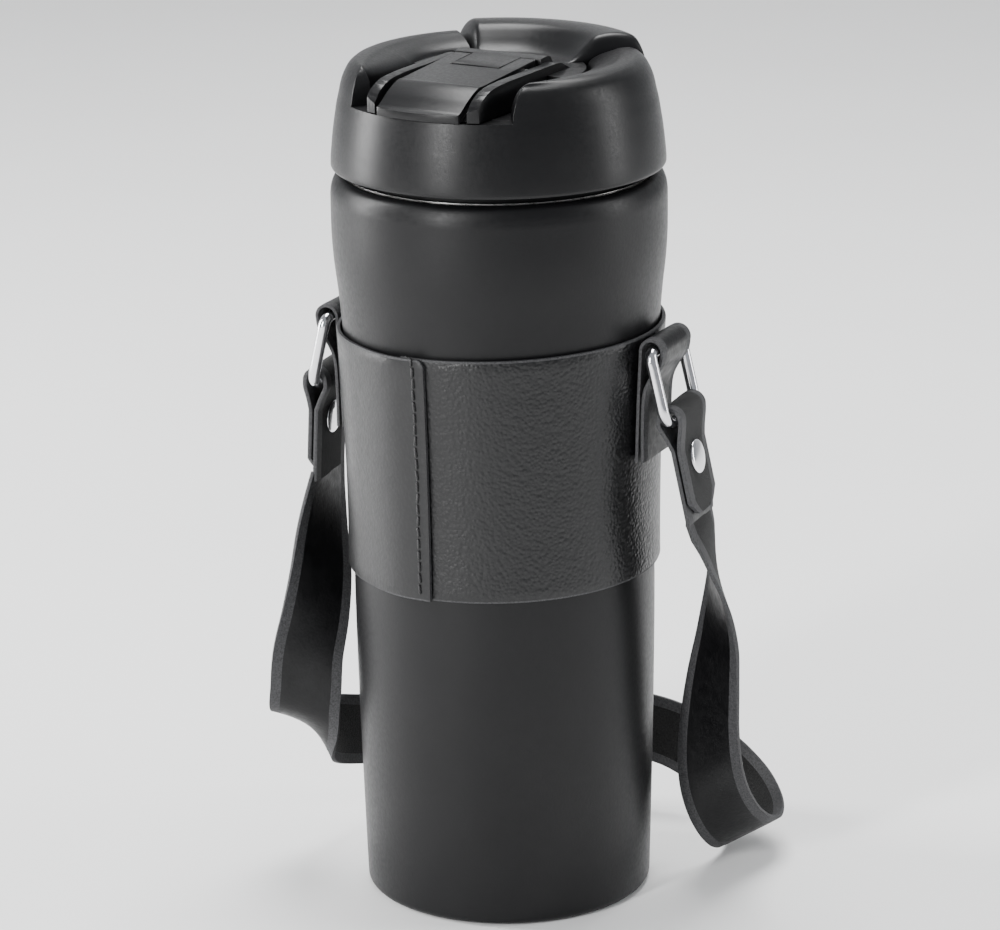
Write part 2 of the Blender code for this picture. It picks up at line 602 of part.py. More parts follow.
def flip_lever(plastic, pivot):
    """The lever that closes the spout: a curved plate with two ears round the pin."""
    rear = PIN_Y + 4.7
    straight = 11.6 - TIP_RADIUS
    outline = [(rear, lever_top(rear)), (-12.0, lever_top(-12.0)), (straight, lever_top(straight))]
    outline += nose_points(NOSE)
    outline += nose_points([(-1.4, GAP), (2.6, GAP)] + NOSE_UNDER)
    outline += [(-13.5, lever_top(-13.5) - LEVER_THICK), (PIN_Y - 2.4, PIN_Z - 0.9)]
    outline += [(PIN_Y + LEVER_BOSS * math.cos(a), PIN_Z + LEVER_BOSS * math.sin(a)) for a in (-2.4, -1.9, -1.2, -0.6)]
    outline += [(rear, PIN_Z + 0.2)]
    made = extruded("flip_lever", outline, -LEVER_HALF, LEVER_HALF, plastic)
    low, high = LID_FLOOR_Z - 10.0, LID_FLOOR_Z + 20.0
    round_front = [(0, low), (TIP_RADIUS, low), (TIP_RADIUS, high), (0, high)]
    combine(made, turned("bound_lever", lambda a: round_front, plastic), "INTERSECT")
    arc = [math.radians(a) for a in range(-40, 41, 10)]
    notch = [(PIN_Y - TONGUE_CLEAR * math.cos(a), PIN_Z + TONGUE_CLEAR * math.sin(a)) for a in arc]
    notch += [(3.0, high), (3.0, low)]
    half = TONGUE_HALF + GAP
    combine(made, extruded("cut_lever_notch", notch, -half, half, plastic), "DIFFERENCE")
    half = 2 * LEVER_HALF
    bore = rod("cut_lever_pin", (-half, PIN_Y, PIN_Z), (half, PIN_Y, PIN_Z), PIN_RADIUS + GAP, plastic)
    combine(made, bore, "DIFFERENCE")
    on_pivot(made, pivot)


def on_pivot(made, pivot):
    """Parent an object to an empty and keep it where it is."""
    made.parent = pivot
    made.matrix_parent_inverse = pivot.matrix_world.inverted()


def empty(name, place):
    """An empty on a joint's axis."""
    made = bpy.data.objects.new(name, None)
    made.location = Vector(place) * MM
    bpy.context.scene.collection.objects.link(made)
    bpy.context.view_layer.update()
    return made


def lever_pieces(plastic, silicone, steel):
    """The lever, its pin and the two silicone stoppers under it."""
    pivot = empty("lever_axis", (0, PIN_Y, PIN_Z))
    flip_lever(plastic, pivot)
    rod("lever_pin", (-PIN_HALF, PIN_Y, PIN_Z), (PIN_HALF, PIN_Y, PIN_Z), PIN_RADIUS, steel)
    top = lever_top(SPOUT_Y) - LEVER_THICK - GAP - 0.25
    radius, low = SPOUT_RADIUS - 0.9, LID_FLOOR_Z + 1.3
    plug = [(0.0, low), (radius - 0.9, low), (radius - 0.2, low + 0.8), (radius, low + 1.4)]
    plug += [(radius, top), (0.0, top)]
    stopper = turned("spout_stopper", lambda angle: plug, silicone)
    stopper.location = (0, SPOUT_Y * MM, 0)
    on_pivot(stopper, pivot)
    vent_top = lever_top(VENT_Y) - LEVER_THICK - GAP - 0.1
    radius, low = VENT_RADIUS - 0.8, LID_FLOOR_Z + 2.0
    vent = [(0.0, low), (radius - 0.4, low), (radius, low + 0.7), (radius, vent_top), (0.0, vent_top)]
    small = turned("vent_stopper", lambda angle: vent, silicone)
    small.location = (0, VENT_Y * MM, 0)
    on_pivot(small, pivot)


def sleeve_radius(z):
    """Outer radius of the leather sleeve at a height."""
    return shell_radius(z) + GAP + SLEEVE_THICK


def sleeve(leather):
    """The leather wrapped round the bottle."""
    inside = [z for z in SHELL_HEIGHTS + UPPER_HEIGHTS if SLEEVE_LOW_Z < z < SLEEVE_TOP_Z]
    heights = [SLEEVE_LOW_Z] + inside + [SLEEVE_TOP_Z]
    ring = [(sleeve_radius(z), z) for z in heights]
    ring += [(sleeve_radius(z) - SLEEVE_THICK, z) for z in reversed(heights)]
    turned("sleeve", lambda angle: ring, leather)


def side_frame(angle):
    """Outward and sideways directions at an angle round the bottle."""
    turn = math.radians(angle)
    return Vector((math.cos(turn), math.sin(turn), 0)), Vector((-math.sin(turn), math.cos(turn), 0))


def ring_frame(angle):
    """The ring's own frame on one side: a point on the bottle's side of it, outward and sideways."""
    straight, _ = side_frame(angle)
    out, side = side_frame(angle + RING_YAW)
    return (straight - out) * bar_place(), out, side


def band(name, path, thick, finish, frame):
    """A leather band whose middle follows (out, height, half width) stations in a frame."""
    base, out, side = frame
    points = []
    for i, (u, z, half) in enumerate(path):
        before = path[max(i - 1, 0)]
        after = path[min(i + 1, len(path) - 1)]
        along = Vector((after[0] - before[0], after[1] - before[1])).normalized()
        du, dz = -along.y * thick / 2, along.x * thick / 2
        for sign, edge in ((1, -half), (1, half), (-1, half), (-1, -half)):
            points.append(base + out * (u + sign * du) + side * edge + Vector((0, 0, z + sign * dz)))
    faces = strip_faces(len(path), 4)
    faces.append([0, 1, 2, 3])
    last = len(points) - 4
    faces.append([last, last + 1, last + 2, last + 3])
    return solid(name, points, faces, finish)


def bar_place():
    """Distance of the ring's bar from the bottle's axis."""
    return sleeve_radius(BAR_Z) + GAP + TAB_THICK + TAB_SLACK + WIRE_RADIUS


def tab(name, leather, angle):
    """The leather loop that holds a D-ring's bar: up the sleeve, over the bar and down again."""
    bar = bar_place()
    roll = WIRE_RADIUS + TAB_SLACK + TAB_THICK / 2
    lift = GAP + TAB_THICK / 2
    low = BAR_Z - TAB_LENGTH
    third = TAB_LENGTH / 3
    path = [(sleeve_radius(z) + lift, z, TAB_HALF) for z in (low, low + third, low + 2 * third)]
    for degrees in range(180, -1, -20):
        turn = math.radians(degrees)
        path.append((bar + roll * math.cos(turn), BAR_Z + roll * math.sin(turn), TAB_HALF))
    over = lift + TAB_THICK + GAP
    path.append((bar + roll - 0.5, BAR_Z - 3.0, TAB_HALF))
    path += [(sleeve_radius(z) + over + extra, z, TAB_HALF)
             for z, extra in ((BAR_Z - 7.0, 1.5), (low + 1.8 * third, 0.0), (low + third, 0.0), (low, 0.0))]
    return band(name, path, TAB_THICK, leather, (Vector(), *side_frame(angle)))


def ring_path():
    """The middle line of a D-ring in its own plane: sideways, and down from the bar."""
    corners = [
        (-RING_HALF, 0.0, BAR_CORNER), (-RING_HALF, RING_DROP, RING_CORNER),
        (RING_HALF, RING_DROP, RING_CORNER), (RING_HALF, 0.0, BAR_CORNER),
    ]
    centres = [(-1, 1), (-1, -1), (1, -1), (1, 1)]
    starts = [(0, -1), (-1, 0), (0, 1), (1, 0)]
    path = []
    for (s, d, r), (cs, cd), first in zip(corners, centres, starts):
        middle = Vector((s - cs * r, d + cd * r))
        a = Vector(first) * r
        b = Vector((cs * r, -cd * r)) - a
        for k in range(5):
            turn = math.radians(22.5 * k)
            path.append(middle + a * math.cos(turn) + b * math.sin(turn))
    return path


def d_ring(name, chrome, frame, pivot):
    """A wire ring that hangs from its bar, tilted out."""
    base, out, side = frame
    tilt = math.radians(RING_TILT)
    down = out * math.sin(tilt) - Vector((0, 0, 1)) * math.cos(tilt)
    normal = side.cross(down).normalized()
    origin = base + out * bar_place() + Vector((0, 0, BAR_Z))
    path = ring_path()
    sides = 10
    points = []
    for i, place in enumerate(path):
        along = (path[(i + 1) % len(path)] - path[i - 1]).normalized()
        across = side * along.y - down * along.x
        centre = origin + side * place.x + down * place.y
        for k in range(sides):
            turn = 2 * math.pi * k / sides
            points.append(centre + WIRE_RADIUS * (math.cos(turn) * across + math.sin(turn) * normal))
    made = solid(name, points, strip_faces(len(path), sides, closed_rows=True), chrome)
    on_pivot(made, pivot)


def wire_place():
    """Where the ring's bottom wire is: distance out and height."""
    tilt = math.radians(RING_TILT)
    return bar_place() + RING_DROP * math.sin(tilt), BAR_Z - RING_DROP * math.cos(tilt)


def band_out(drop, lean):
    """Distance out of the main band at a depth below the wire; the folded tail lies outside it."""
    return wire_place()[0] - END_INSET + drop * math.tan(math.radians(lean))


def strap_end(name, leather, frame, lean, pivot):
    """The end of the strap: up inside the ring, over its bottom wire, and riveted to itself."""
    wire, wire_z = wire_place()
    loop = WIRE_RADIUS + LOOP_SLACK + STRAP_THICK / 2
    fold = STRAP_THICK + GAP
    path = [(band_out(TAIL_DROP, lean) + fold, wire_z - TAIL_DROP, TAIL_TIP_HALF)]
    flat = RIVET_RADIUS + GAP
    for drop in (TAIL_DROP - TAIL_POINT, RIVET_DROP + flat, RIVET_DROP, RIVET_DROP - flat):
        path.append((band_out(drop, lean) + fold, wire_z - drop, STRAP_HALF))
    path += [(band_out(3.5, lean) + fold + 0.6, wire_z - 3.5, STRAP_HALF), (wire + loop, wire_z - 0.5, STRAP_HALF)]
    for degrees in range(0, 181, 20):
        turn = math.radians(degrees)
        path.append((wire + loop * math.cos(turn), wire_z + LOOP_RISE + loop * math.sin(turn), STRAP_HALF))
    path += [(wire - loop, wire_z - 0.5, STRAP_HALF), (band_out(3.5, lean) - 0.9, wire_z - 3.5, STRAP_HALF)]
    for drop in (RIVET_DROP - flat, RIVET_DROP, RIVET_DROP + flat, TAIL_DROP - TAIL_POINT):
        path.append((band_out(drop, lean), wire_z - drop, STRAP_HALF))
    path += [(band_out(BAND_DROP - 1.0, lean), wire_z - BAND_DROP + 1.0, STRAP_HALF)]
    path += [(band_out(BAND_DROP - 1.0, lean), wire_z - BAND_DROP, STRAP_HALF)]
    made = band(name, path, STRAP_THICK, leather, frame)
    start, end = rivet_axis(frame, lean)
    along = (end - start).normalized()
    hole = rod("cut_" + name, start - along * 3, end + along * 3, POST_RADIUS + GAP, leather)
    combine(made, hole, "DIFFERENCE")
    on_pivot(made, pivot)


def rivet_axis(frame, lean):
    """The inner and outer face of the folded strap end on the rivet's axis."""
    base, out, _ = frame
    tilt = math.radians(lean)
    along = out * math.cos(tilt) + Vector((0, 0, 1)) * math.sin(tilt)
    level = Vector((0, 0, wire_place()[1] - RIVET_DROP))
    main = base + out * band_out(RIVET_DROP, lean) + level
    half = STRAP_THICK / 2
    folded = (STRAP_THICK + GAP) * math.cos(tilt)
    return main - along * half, main + along * (folded + half)


def rivet(side_name, chrome, frame, lean, pivot):
    """A double-cap rivet: the outer cap with its post, and the inner cap."""
    inner, outer = rivet_axis(frame, lean)
    side = frame[2]
    along = (outer - inner).normalized()
    up = side.cross(along)
    face = (outer - inner).length + GAP
    dome = [(0.0, face + RIVET_DOME), (1.6, face + 0.92 * RIVET_DOME)]
    dome += [(2.9, face + 0.6 * RIVET_DOME), (RIVET_RADIUS, face + 0.25), (RIVET_RADIUS, face)]
    cap = dome + [(POST_RADIUS, face), (POST_RADIUS, 0.0), (0.0, 0.0)]
    back = [(0.0, -GAP), (RIVET_RADIUS, -GAP), (RIVET_RADIUS, -GAP - 0.25)]
    back += [(2.9, -GAP - 0.7), (1.6, -GAP - 1.0), (0.0, -GAP - 1.1)]
    sides = 20
    for name, outline in (("rivet_cap_", cap), ("rivet_back_", back)):
        points = []
        for i in range(sides):
            turn = 2 * math.pi * i / sides
            lateral = side * math.cos(turn) + up * math.sin(turn)
            points += [inner + along * u + lateral * r for r, u in outline]
        made = solid(name + side_name, points, strip_faces(sides, len(outline), closed_rows=True), chrome)
        on_pivot(made, pivot)


ROUTE_BODY = 39.15              # body radius that the route below is drawn round
STRAP_ROUTE = [     # x, y, z of the strap's middle; compass and dip in degrees of its width
    (-44.6, -9.8, 84.0, 261, 0), (-43.2, -13.6, 73.5, 245, 0), (-42.9, -17.0, 64.0, 232, 0),
    (-43.4, -20.0, 55.0, 221, 1), (-44.0, -20.4, 46.6, 213, 5), (-45.5, -18.8, 39.6, 210, 19),
    (-47.1, -13.2, 34.0, 208, 42), (-46.8, -5.2, 30.8, 205, 66), (-45.6, 4.0, 27.8, 200, 81),
    (-44.2, 15.0, 24.8, 190, 86), (-39.6, 29.6, 22.6, 150, 88), (-30.0, 43.0, 21.6, 120, 88),
    (-15.0, 51.5, 21.8, 90, 88), (1.0, 55.0, 21.4, 60, 87), (14.5, 57.5, 19.2, 40, 80),
    (26.5, 57.2, 14.6, 33, 66), (36.6, 52.8, 10.0, 31, 50), (43.4, 45.7, 7.1, 31, 38),
    (46.4, 38.4, 6.2, 30, 29), (46.7, 31.8, 8.2, 27, 23), (45.8, 26.4, 13.4, 21, 16),
    (44.9, 22.2, 21.0, 12, 9), (45.2, 18.8, 30.2, 0, 3), (46.2, 16.8, 41.0, -11, 0),
    (47.8, 15.6, 52.5, -20, 0), (49.4, 14.9, 63.5, -31, 0), (50.5, 13.0, 73.5, -45, 0),
    (50.9, 10.4, 82.0, -60, 0), (50.8, 7.6, 89.3, -72, 0),
]


def strap_stations():
    """Points and width directions along the strap, from its left end to its right end."""
    ends = {}
    for name, angle in SIDES:
        base, out, _ = ring_frame(angle)
        place = base + out * band_out(BAND_DROP - 1.0, END_LEAN[name])
        turn = RING_ANGLE + RING_YAW + (-90.0 if name == "right" else 270.0)
        ends[name] = (place.x, place.y, wire_place()[1] - BAND_DROP - GAP, turn, 0)
    route = []
    for x, y, z, compass, dip in STRAP_ROUTE:
        spread = 1.0 + (BODY_RADIUS - ROUTE_BODY) / math.hypot(x, y)
        route.append((x * spread, y * spread, z, compass, dip))
    return [ends["left"]] + route + [ends["right"]]


def strap(leather):
    """The long band that hangs from both ends and passes behind the bottle."""
    route = strap_stations()
    places = [(float(i), row) for i, row in enumerate(route)]
    steps = 2 * (len(route) - 1)
    middles, widths = [], []
    for k in range(steps + 1):
        t = k * (len(route) - 1) / steps
        value = [smooth_between([(i, row[j]) for i, row in places], t) for j in range(5)]
        compass, dip = math.radians(value[3]), math.radians(value[4])
        middles.append(Vector(value[:3]))
        widths.append(Vector((math.cos(dip) * math.cos(compass), math.cos(dip) * math.sin(compass), math.sin(dip))))
    points = []
    for k, (middle, width) in enumerate(zip(middles, widths)):
        along = (middles[min(k + 1, steps)] - middles[max(k - 1, 0)]).normalized()
        if k in (0, steps):
            along = Vector((0, 0, 1 if k else -1))
        width = (width - along * width.dot(along)).normalized()
        face = along.cross(width).normalized()
        for sign, edge in ((1, -1), (1, 1), (-1, 1), (-1, -1)):
            points.append(middle + face * sign * STRAP_THICK / 2 + width * edge * STRAP_HALF)
    faces = strip_faces(steps + 1, 4)
    faces.append([0, 1, 2, 3])
    last = len(points) - 4
    faces.append([last, last + 1, last + 2, last + 3])
    solid("strap", points, faces, leather)


def leather_pieces(leather, chrome):
    """The sleeve, its two loops, the rings, the strap's two ends and the strap."""
    sleeve(leather)
    for name, angle in SIDES:
        tab("tab_" + name, leather, angle)
        frame = ring_frame(angle)
        lean = END_LEAN[name]
        pivot = empty("ring_axis_" + name, frame[0] + frame[1] * bar_place() + Vector((0, 0, BAR_Z)))
        d_ring("d_ring_" + name, chrome, frame, pivot)
        strap_end("strap_end_" + name, leather, frame, lean, pivot)
        rivet(name, chrome, frame, lean, pivot)
    strap(leather)


def main():
    clear_scene()
    paint = material("black_coating", (0.030, 0.030, 0.032), 0.5)
    steel = material("steel", (0.62, 0.61, 0.60), 0.3, 1.0)
    getter_finish = material("getter_metal", (0.35, 0.34, 0.33), 0.6, 1.0)
    plastic = material("lid_plastic", (0.035, 0.036, 0.038), 0.45)
    inner_plastic = material("plug_plastic", (0.045, 0.045, 0.047), 0.5)
    silicone = material("silicone", (0.10, 0.10, 0.105), 0.6)
    leather = material("leather", (0.028, 0.027, 0.028), 0.6)
    chrome = material("chrome", (0.80, 0.80, 0.81), 0.12, 1.0)
    bottle_pieces(steel, paint, getter_finish)
    lid_shell(plastic)
    lid_plug(inner_plastic)
    lid_gasket(silicone)
    drink_tube(inner_plastic)
    lid_bridge(plastic)
    lever_pieces(plastic, silicone, steel)
    leather_pieces(leather, chrome)


main()
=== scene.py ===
"""The looks of the vacuum travel mug: fine surfaces, leather, stitching, chrome and studio light.

Lengths are millimetres and become metres when a mesh is made.
The shapes repeat the CAD's outlines at a finer step; the mouth's, lid's and sleeve's heights come
from the frame.
"""
import math
import random

import bmesh
import bpy
from mathutils import Matrix, Vector


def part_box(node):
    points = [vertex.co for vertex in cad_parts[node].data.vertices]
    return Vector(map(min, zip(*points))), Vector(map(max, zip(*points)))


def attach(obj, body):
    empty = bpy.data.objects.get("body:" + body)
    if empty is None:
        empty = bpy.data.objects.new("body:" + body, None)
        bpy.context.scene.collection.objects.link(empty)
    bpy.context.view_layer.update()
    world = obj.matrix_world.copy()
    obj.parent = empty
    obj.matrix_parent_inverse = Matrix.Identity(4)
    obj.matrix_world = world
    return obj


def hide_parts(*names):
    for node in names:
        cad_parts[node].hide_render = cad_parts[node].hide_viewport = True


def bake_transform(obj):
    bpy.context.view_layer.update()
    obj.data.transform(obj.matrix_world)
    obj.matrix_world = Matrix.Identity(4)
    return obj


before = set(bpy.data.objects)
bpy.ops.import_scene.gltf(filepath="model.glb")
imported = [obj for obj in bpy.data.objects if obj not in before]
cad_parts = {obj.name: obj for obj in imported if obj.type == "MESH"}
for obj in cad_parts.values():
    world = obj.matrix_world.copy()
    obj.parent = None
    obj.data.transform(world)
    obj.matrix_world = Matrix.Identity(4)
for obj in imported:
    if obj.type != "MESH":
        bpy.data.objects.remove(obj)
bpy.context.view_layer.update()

MM = 0.001
GAP = 0.3
FINE = 240                      # segments of a full turn
random.seed(7)

# Bottle and sleeve: the heights come from the frame, the other sizes are the CAD's
MOUTH_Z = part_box("outer_shell")[1].z / MM
BODY_RADIUS = 39.15
LID_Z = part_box("lid_shell")[0].z / MM
LID_FLOOR_Z = LID_Z + 16.7
LID_TOP_RADIUS = BODY_RADIUS - 2.4
WELL_RADIUS = BODY_RADIUS - 18.15
WELL_WIDEST = BODY_RADIUS - 7.65
WELL_HALF = 20.7
PLATFORM_Z = LID_FLOOR_Z + 5.3
SLEEVE_LOW_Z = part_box("sleeve")[0].z / MM
SLEEVE_TOP_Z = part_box("sleeve")[1].z / MM
SLEEVE_THICK = 1.0
WALL = 0.8
FOOT_RADIUS = BODY_RADIUS - 6.15
BASE_HOLE = FOOT_RADIUS - 4.0
LIP_RADIUS = BODY_RADIUS - 2.95
MOUTH_RADIUS = LIP_RADIUS - 1.2
SHELL_OUTLINE = [(z, BODY_RADIUS - inset) for z, inset in (
    (3.0, 5.05), (15.5, 4.68), (28.0, 4.35), (49.0, 3.85), (73.0, 3.5), (90.0, 3.6), (105.0, 3.4), (122.0, 2.85),
    (MOUTH_Z - 37.8, 2.1), (MOUTH_Z - 27.8, 1.3), (MOUTH_Z - 20.3, 0.45), (MOUTH_Z - 13.8, 0.05),
    (MOUTH_Z - 5.3, 0.0),
)]

# Strap hardware, as in the CAD
RING_ANGLE = 4.5
RING_YAW = 4.0
WIRE_RADIUS = 1.4
BAR_Z = SLEEVE_TOP_Z - 2.8
STRAP_HALF = 8.6
RING_HALF = STRAP_HALF + 0.4 + WIRE_RADIUS
RING_DROP = 17.5
RING_TILT = 13.0
RING_CORNER = 4.5
BAR_CORNER = 2.0
TAB_HALF = 8.2
TAB_THICK = 0.9
TAB_LENGTH = 26.7
TAB_SLACK = 0.8
STRAP_THICK = 1.2
LOOP_SLACK = 0.6
LOOP_RISE = 1.1
END_LEAN = {"right": 12.0, "left": 3.0}
END_INSET = 0.5
RIVET_DROP = 9.7
RIVET_RADIUS = 4.0
TAIL_DROP = 21.7
BAND_DROP = 23.7
TAIL_HALF = 4.2                 # half width of the tail's blunt point
TAIL_POINT = 3.4
SIDES = (("right", RING_ANGLE), ("left", 180.0 + RING_ANGLE))

# Lid and lever, as in the CAD
SPOUT_Y = -24.0
VENT_Y = -14.5
CHANNEL_FLOOR_Z = LID_FLOOR_Z + 2.7
RIDGE_TOP_Z = LID_FLOOR_Z + 7.3
BRIDGE_HALF = 14.6
CHANNEL_HALF = 12.0
LEVER_HALF = 10.6
LEVER_THICK = 2.6
PIN_Y = -5.5
PIN_Z = LID_FLOOR_Z + 6.0
PIN_COVER = 2.0
TONGUE_HALF = 6.2
LEVER_SLOPE = 0.064
TIP_RADIUS = BODY_RADIUS - 1.55
SPOUT_RADIUS = 4.2
VENT_RADIUS = 2.4
PIN_BORE = 1.3
LID_WALL = 2.2
THREAD_LEAD = 8.0
CUT_LOW_Z = LID_FLOOR_Z - 10.0
CUT_HIGH_Z = LID_FLOOR_Z + 20.0


# ---------------------------------------------------------------- materials

class Finish:
    """A Principled material with a short way to add and link nodes."""

    def __init__(self, name, colour, roughness, metallic=0.0, **sockets):
        self.material = bpy.data.materials.new(name)
        self.material.use_nodes = True
        self.tree = self.material.node_tree
        self.shader = self.tree.nodes["Principled BSDF"]
        self.shader.inputs["Base Color"].default_value = (*colour, 1.0)
        self.shader.inputs["Roughness"].default_value = roughness
        self.shader.inputs["Metallic"].default_value = metallic
        for socket, value in sockets.items():
            self.shader.inputs[socket.replace("_", " ")].default_value = value
        self.place = self.node("ShaderNodeNewGeometry").outputs["Position"]

    def node(self, kind, **values):
        made = self.tree.nodes.new(kind)
        for key, value in values.items():
            setattr(made, key, value)
        return made

    def link(self, source, target):
        self.tree.links.new(source, target)

    def noise(self, scale, detail=3.0, roughness=0.5, stretch=None):
        """Noise over the object's own space; scale is in features per metre."""
        made = self.node("ShaderNodeTexNoise")
        made.inputs["Scale"].default_value = scale
        made.inputs["Detail"].default_value = detail
        made.inputs["Roughness"].default_value = roughness
        self.link(self.stretched(stretch), made.inputs["Vector"])
        return made.outputs["Fac"]

    def stretched(self, stretch):
        if stretch is None:
            return self.place
        mapping = self.node("ShaderNodeMapping")
        mapping.inputs["Scale"].default_value = stretch
        self.link(self.place, mapping.inputs["Vector"])
        return mapping.outputs["Vector"]

    def cells(self, scale, smooth=0.6):
        """Smooth cells, for leather grain."""
        made = self.node("ShaderNodeTexVoronoi", feature="SMOOTH_F1")
        made.inputs["Scale"].default_value = scale
        made.inputs["Smoothness"].default_value = smooth
        self.link(self.place, made.inputs["Vector"])
        return made.outputs["Distance"]

    def ranged(self, value, low, high, out_low, out_high):
        made = self.node("ShaderNodeMapRange")
        limits = (("From Min", low), ("From Max", high), ("To Min", out_low), ("To Max", out_high))
        for socket, number in limits:
            made.inputs[socket].default_value = number
        self.link(value, made.inputs["Value"])
        return made.outputs["Result"]

    def math(self, operation, a, b):
        made = self.node("ShaderNodeMath", operation=operation)
        for socket, value in zip(made.inputs, (a, b)):
            if isinstance(value, (int, float)):
                socket.default_value = value
            else:
                self.link(value, socket)
        return made.outputs["Value"]

    def colours(self, value, dark, light):
        made = self.node("ShaderNodeMix", data_type="RGBA")
        made.inputs["A"].default_value = (*dark, 1.0)
        made.inputs["B"].default_value = (*light, 1.0)
        self.link(value, made.inputs["Factor"])
        self.link(made.outputs["Result"], self.shader.inputs["Base Color"])

    def mottled(self, value, dark, light, low=0.3, high=0.7):
        """Two colours mixed by a texture's usual range."""
        self.colours(self.ranged(value, low, high, 0.0, 1.0), dark, light)

    def rough(self, value, low, high):
        self.link(self.ranged(value, 0.3, 0.7, low, high), self.shader.inputs["Roughness"])

    def bump(self, height, distance, strength=1.0, under=None):
        made = self.node("ShaderNodeBump")
        made.inputs["Distance"].default_value = distance * MM
        made.inputs["Strength"].default_value = strength
        self.link(height, made.inputs["Height"])
        if under is not None:
            self.link(under, made.inputs["Normal"])
        self.link(made.outputs["Normal"], self.shader.inputs["Normal"])
        return made.outputs["Normal"]


def powder_coat():
    """Matte black coat with the faint orange peel that a sprayed powder leaves."""
    made = Finish("black_powder_coat", (0.010, 0.010, 0.011), 0.40, Specular_IOR_Level=0.25)
    made.mottled(made.noise(60.0, 4.0), (0.0035, 0.0035, 0.0040), (0.0050, 0.0050, 0.0056))
    made.rough(made.noise(900.0, 2.0), 0.36, 0.45)
    peel = made.bump(made.noise(1500.0, 2.0, 0.4), 0.020)
    made.bump(made.noise(5200.0, 1.0), 0.006, under=peel)
    return made.material


def moulded(name, dark, light, roughness):
    """Moulded plastic with a fine spark-eroded texture."""
    made = Finish(name, dark, roughness, Specular_IOR_Level=0.27)
    made.mottled(made.noise(90.0, 4.0), dark, light)
    made.rough(made.noise(1400.0, 2.0), roughness - 0.04, roughness + 0.05)
    grain = made.bump(made.noise(3600.0, 2.0, 0.6), 0.012)
    made.bump(made.noise(260.0, 1.0), 0.010, under=grain)
    return made.material


def sleeve_leather():
    """Coated leather: almost smooth on the side of negative X, pebbled on the other."""
    made = Finish("sleeve_leather", (0.009, 0.009, 0.010), 0.36, Specular_IOR_Level=0.42)
    split = made.node("ShaderNodeSeparateXYZ")
    made.link(made.place, split.inputs["Vector"])
    side = made.ranged(split.outputs["X"], 0.0, 0.006, 0.25, 1.0)
    pebble = made.cells(1150.0, 0.5)
    fine = made.noise(2600.0, 3.0, 0.6)
    made.colours(made.ranged(pebble, 0.1, 0.6, 1.0, 0.0), (0.0025, 0.0025, 0.0030), (0.0055, 0.0055, 0.0060))
    made.rough(made.noise(700.0, 3.0), 0.33, 0.43)
    grain = made.bump(made.math("MULTIPLY", made.math("SUBTRACT", 1.0, pebble), side), 0.20, 0.7)
    waves = made.bump(made.noise(120.0, 2.0), 0.22, 0.6, under=grain)
    made.bump(fine, 0.02, under=waves)
    return made.material


def strap_leather():
    """The strap's coated face: almost smooth, with faint creases."""
    made = Finish("strap_leather", (0.007, 0.007, 0.008), 0.40, Specular_IOR_Level=0.32)
    made.mottled(made.noise(180.0, 4.0), (0.0020, 0.0020, 0.0024), (0.0045, 0.0045, 0.0050))
    made.rough(made.noise(500.0, 3.0), 0.34, 0.48)
    grain = made.bump(made.cells(1500.0, 0.8), 0.06, 0.5)
    made.bump(made.noise(300.0, 3.0, 0.6), 0.10, 0.5, under=grain)
    return made.material


def suede():
    """The strap's inner face: a dense dull nap."""
    made = Finish("suede_back", (0.020, 0.020, 0.021), 0.95, Sheen_Weight=0.08, Sheen_Roughness=0.6)
    made.shader.inputs["Specular IOR Level"].default_value = 0.2
    nap = made.noise(2300.0, 4.0, 0.7)
    made.mottled(nap, (0.002, 0.002, 0.002), (0.014, 0.014, 0.014), 0.35, 0.65)
    made.bump(nap, 0.25, 0.8)
    return made.material


def cut_edge():
    """The leather's cut edge, a little lighter than its faces."""
    made = Finish("leather_cut_edge", (0.13, 0.13, 0.14), 0.7)
    fibres = made.noise(2200.0, 3.0, 0.7)
    made.mottled(fibres, (0.010, 0.010, 0.011), (0.055, 0.055, 0.058))
    made.bump(fibres, 0.12, 0.6)
    return made.material


def thread():
    """Waxed black thread with its twist."""
    made = Finish("waxed_thread", (0.008, 0.008, 0.009), 0.5)
    wave = made.node("ShaderNodeTexWave", bands_direction="DIAGONAL")
    wave.inputs["Scale"].default_value = 900.0
    made.link(made.place, wave.inputs["Vector"])
    made.colours(wave.outputs["Fac"], (0.002, 0.002, 0.002), (0.010, 0.010, 0.011))
    made.bump(wave.outputs["Fac"], 0.08, 0.7)
    return made.material


def chrome():
    """Polished chrome plate with faint waves and handling marks."""
    made = Finish("chrome", (0.80, 0.80, 0.82), 0.10, 1.0)
    made.mottled(made.noise(220.0, 3.0), (0.74, 0.74, 0.76), (0.86, 0.86, 0.88))
    made.rough(made.noise(600.0, 4.0, 0.7), 0.06, 0.14)
    made.bump(made.noise(350.0, 2.0), 0.012)
    return made.material


def brushed(name, dark, light, roughness, stretch):
    """Turned or brushed steel, with its lines along one direction."""
    made = Finish(name, dark, roughness, 1.0)
    lines = made.noise(300.0, 3.0, 0.6, stretch)
    made.mottled(lines, dark, light)
    made.rough(lines, roughness - 0.07, roughness + 0.10)
    made.bump(lines, 0.015, 0.6)
    return made.material


def rubber():
    """Grey silicone with a dusty matte face."""
    made = Finish("grey_silicone", (0.10, 0.10, 0.11), 0.6)
    made.mottled(made.noise(150.0, 3.0), (0.085, 0.085, 0.09), (0.125, 0.125, 0.13))
    made.rough(made.noise(900.0), 0.52, 0.66)
    made.bump(made.noise(1800.0, 2.0), 0.012)
    return made.material


def getter_metal():
    """The dull fired alloy of the vacuum getter."""
    made = Finish("getter_alloy", (0.30, 0.29, 0.28), 0.6, 1.0)
    made.mottled(made.noise(700.0, 4.0), (0.22, 0.21, 0.20), (0.40, 0.38, 0.36))
    made.bump(made.noise(1600.0, 3.0), 0.05, 0.6)
    return made.material


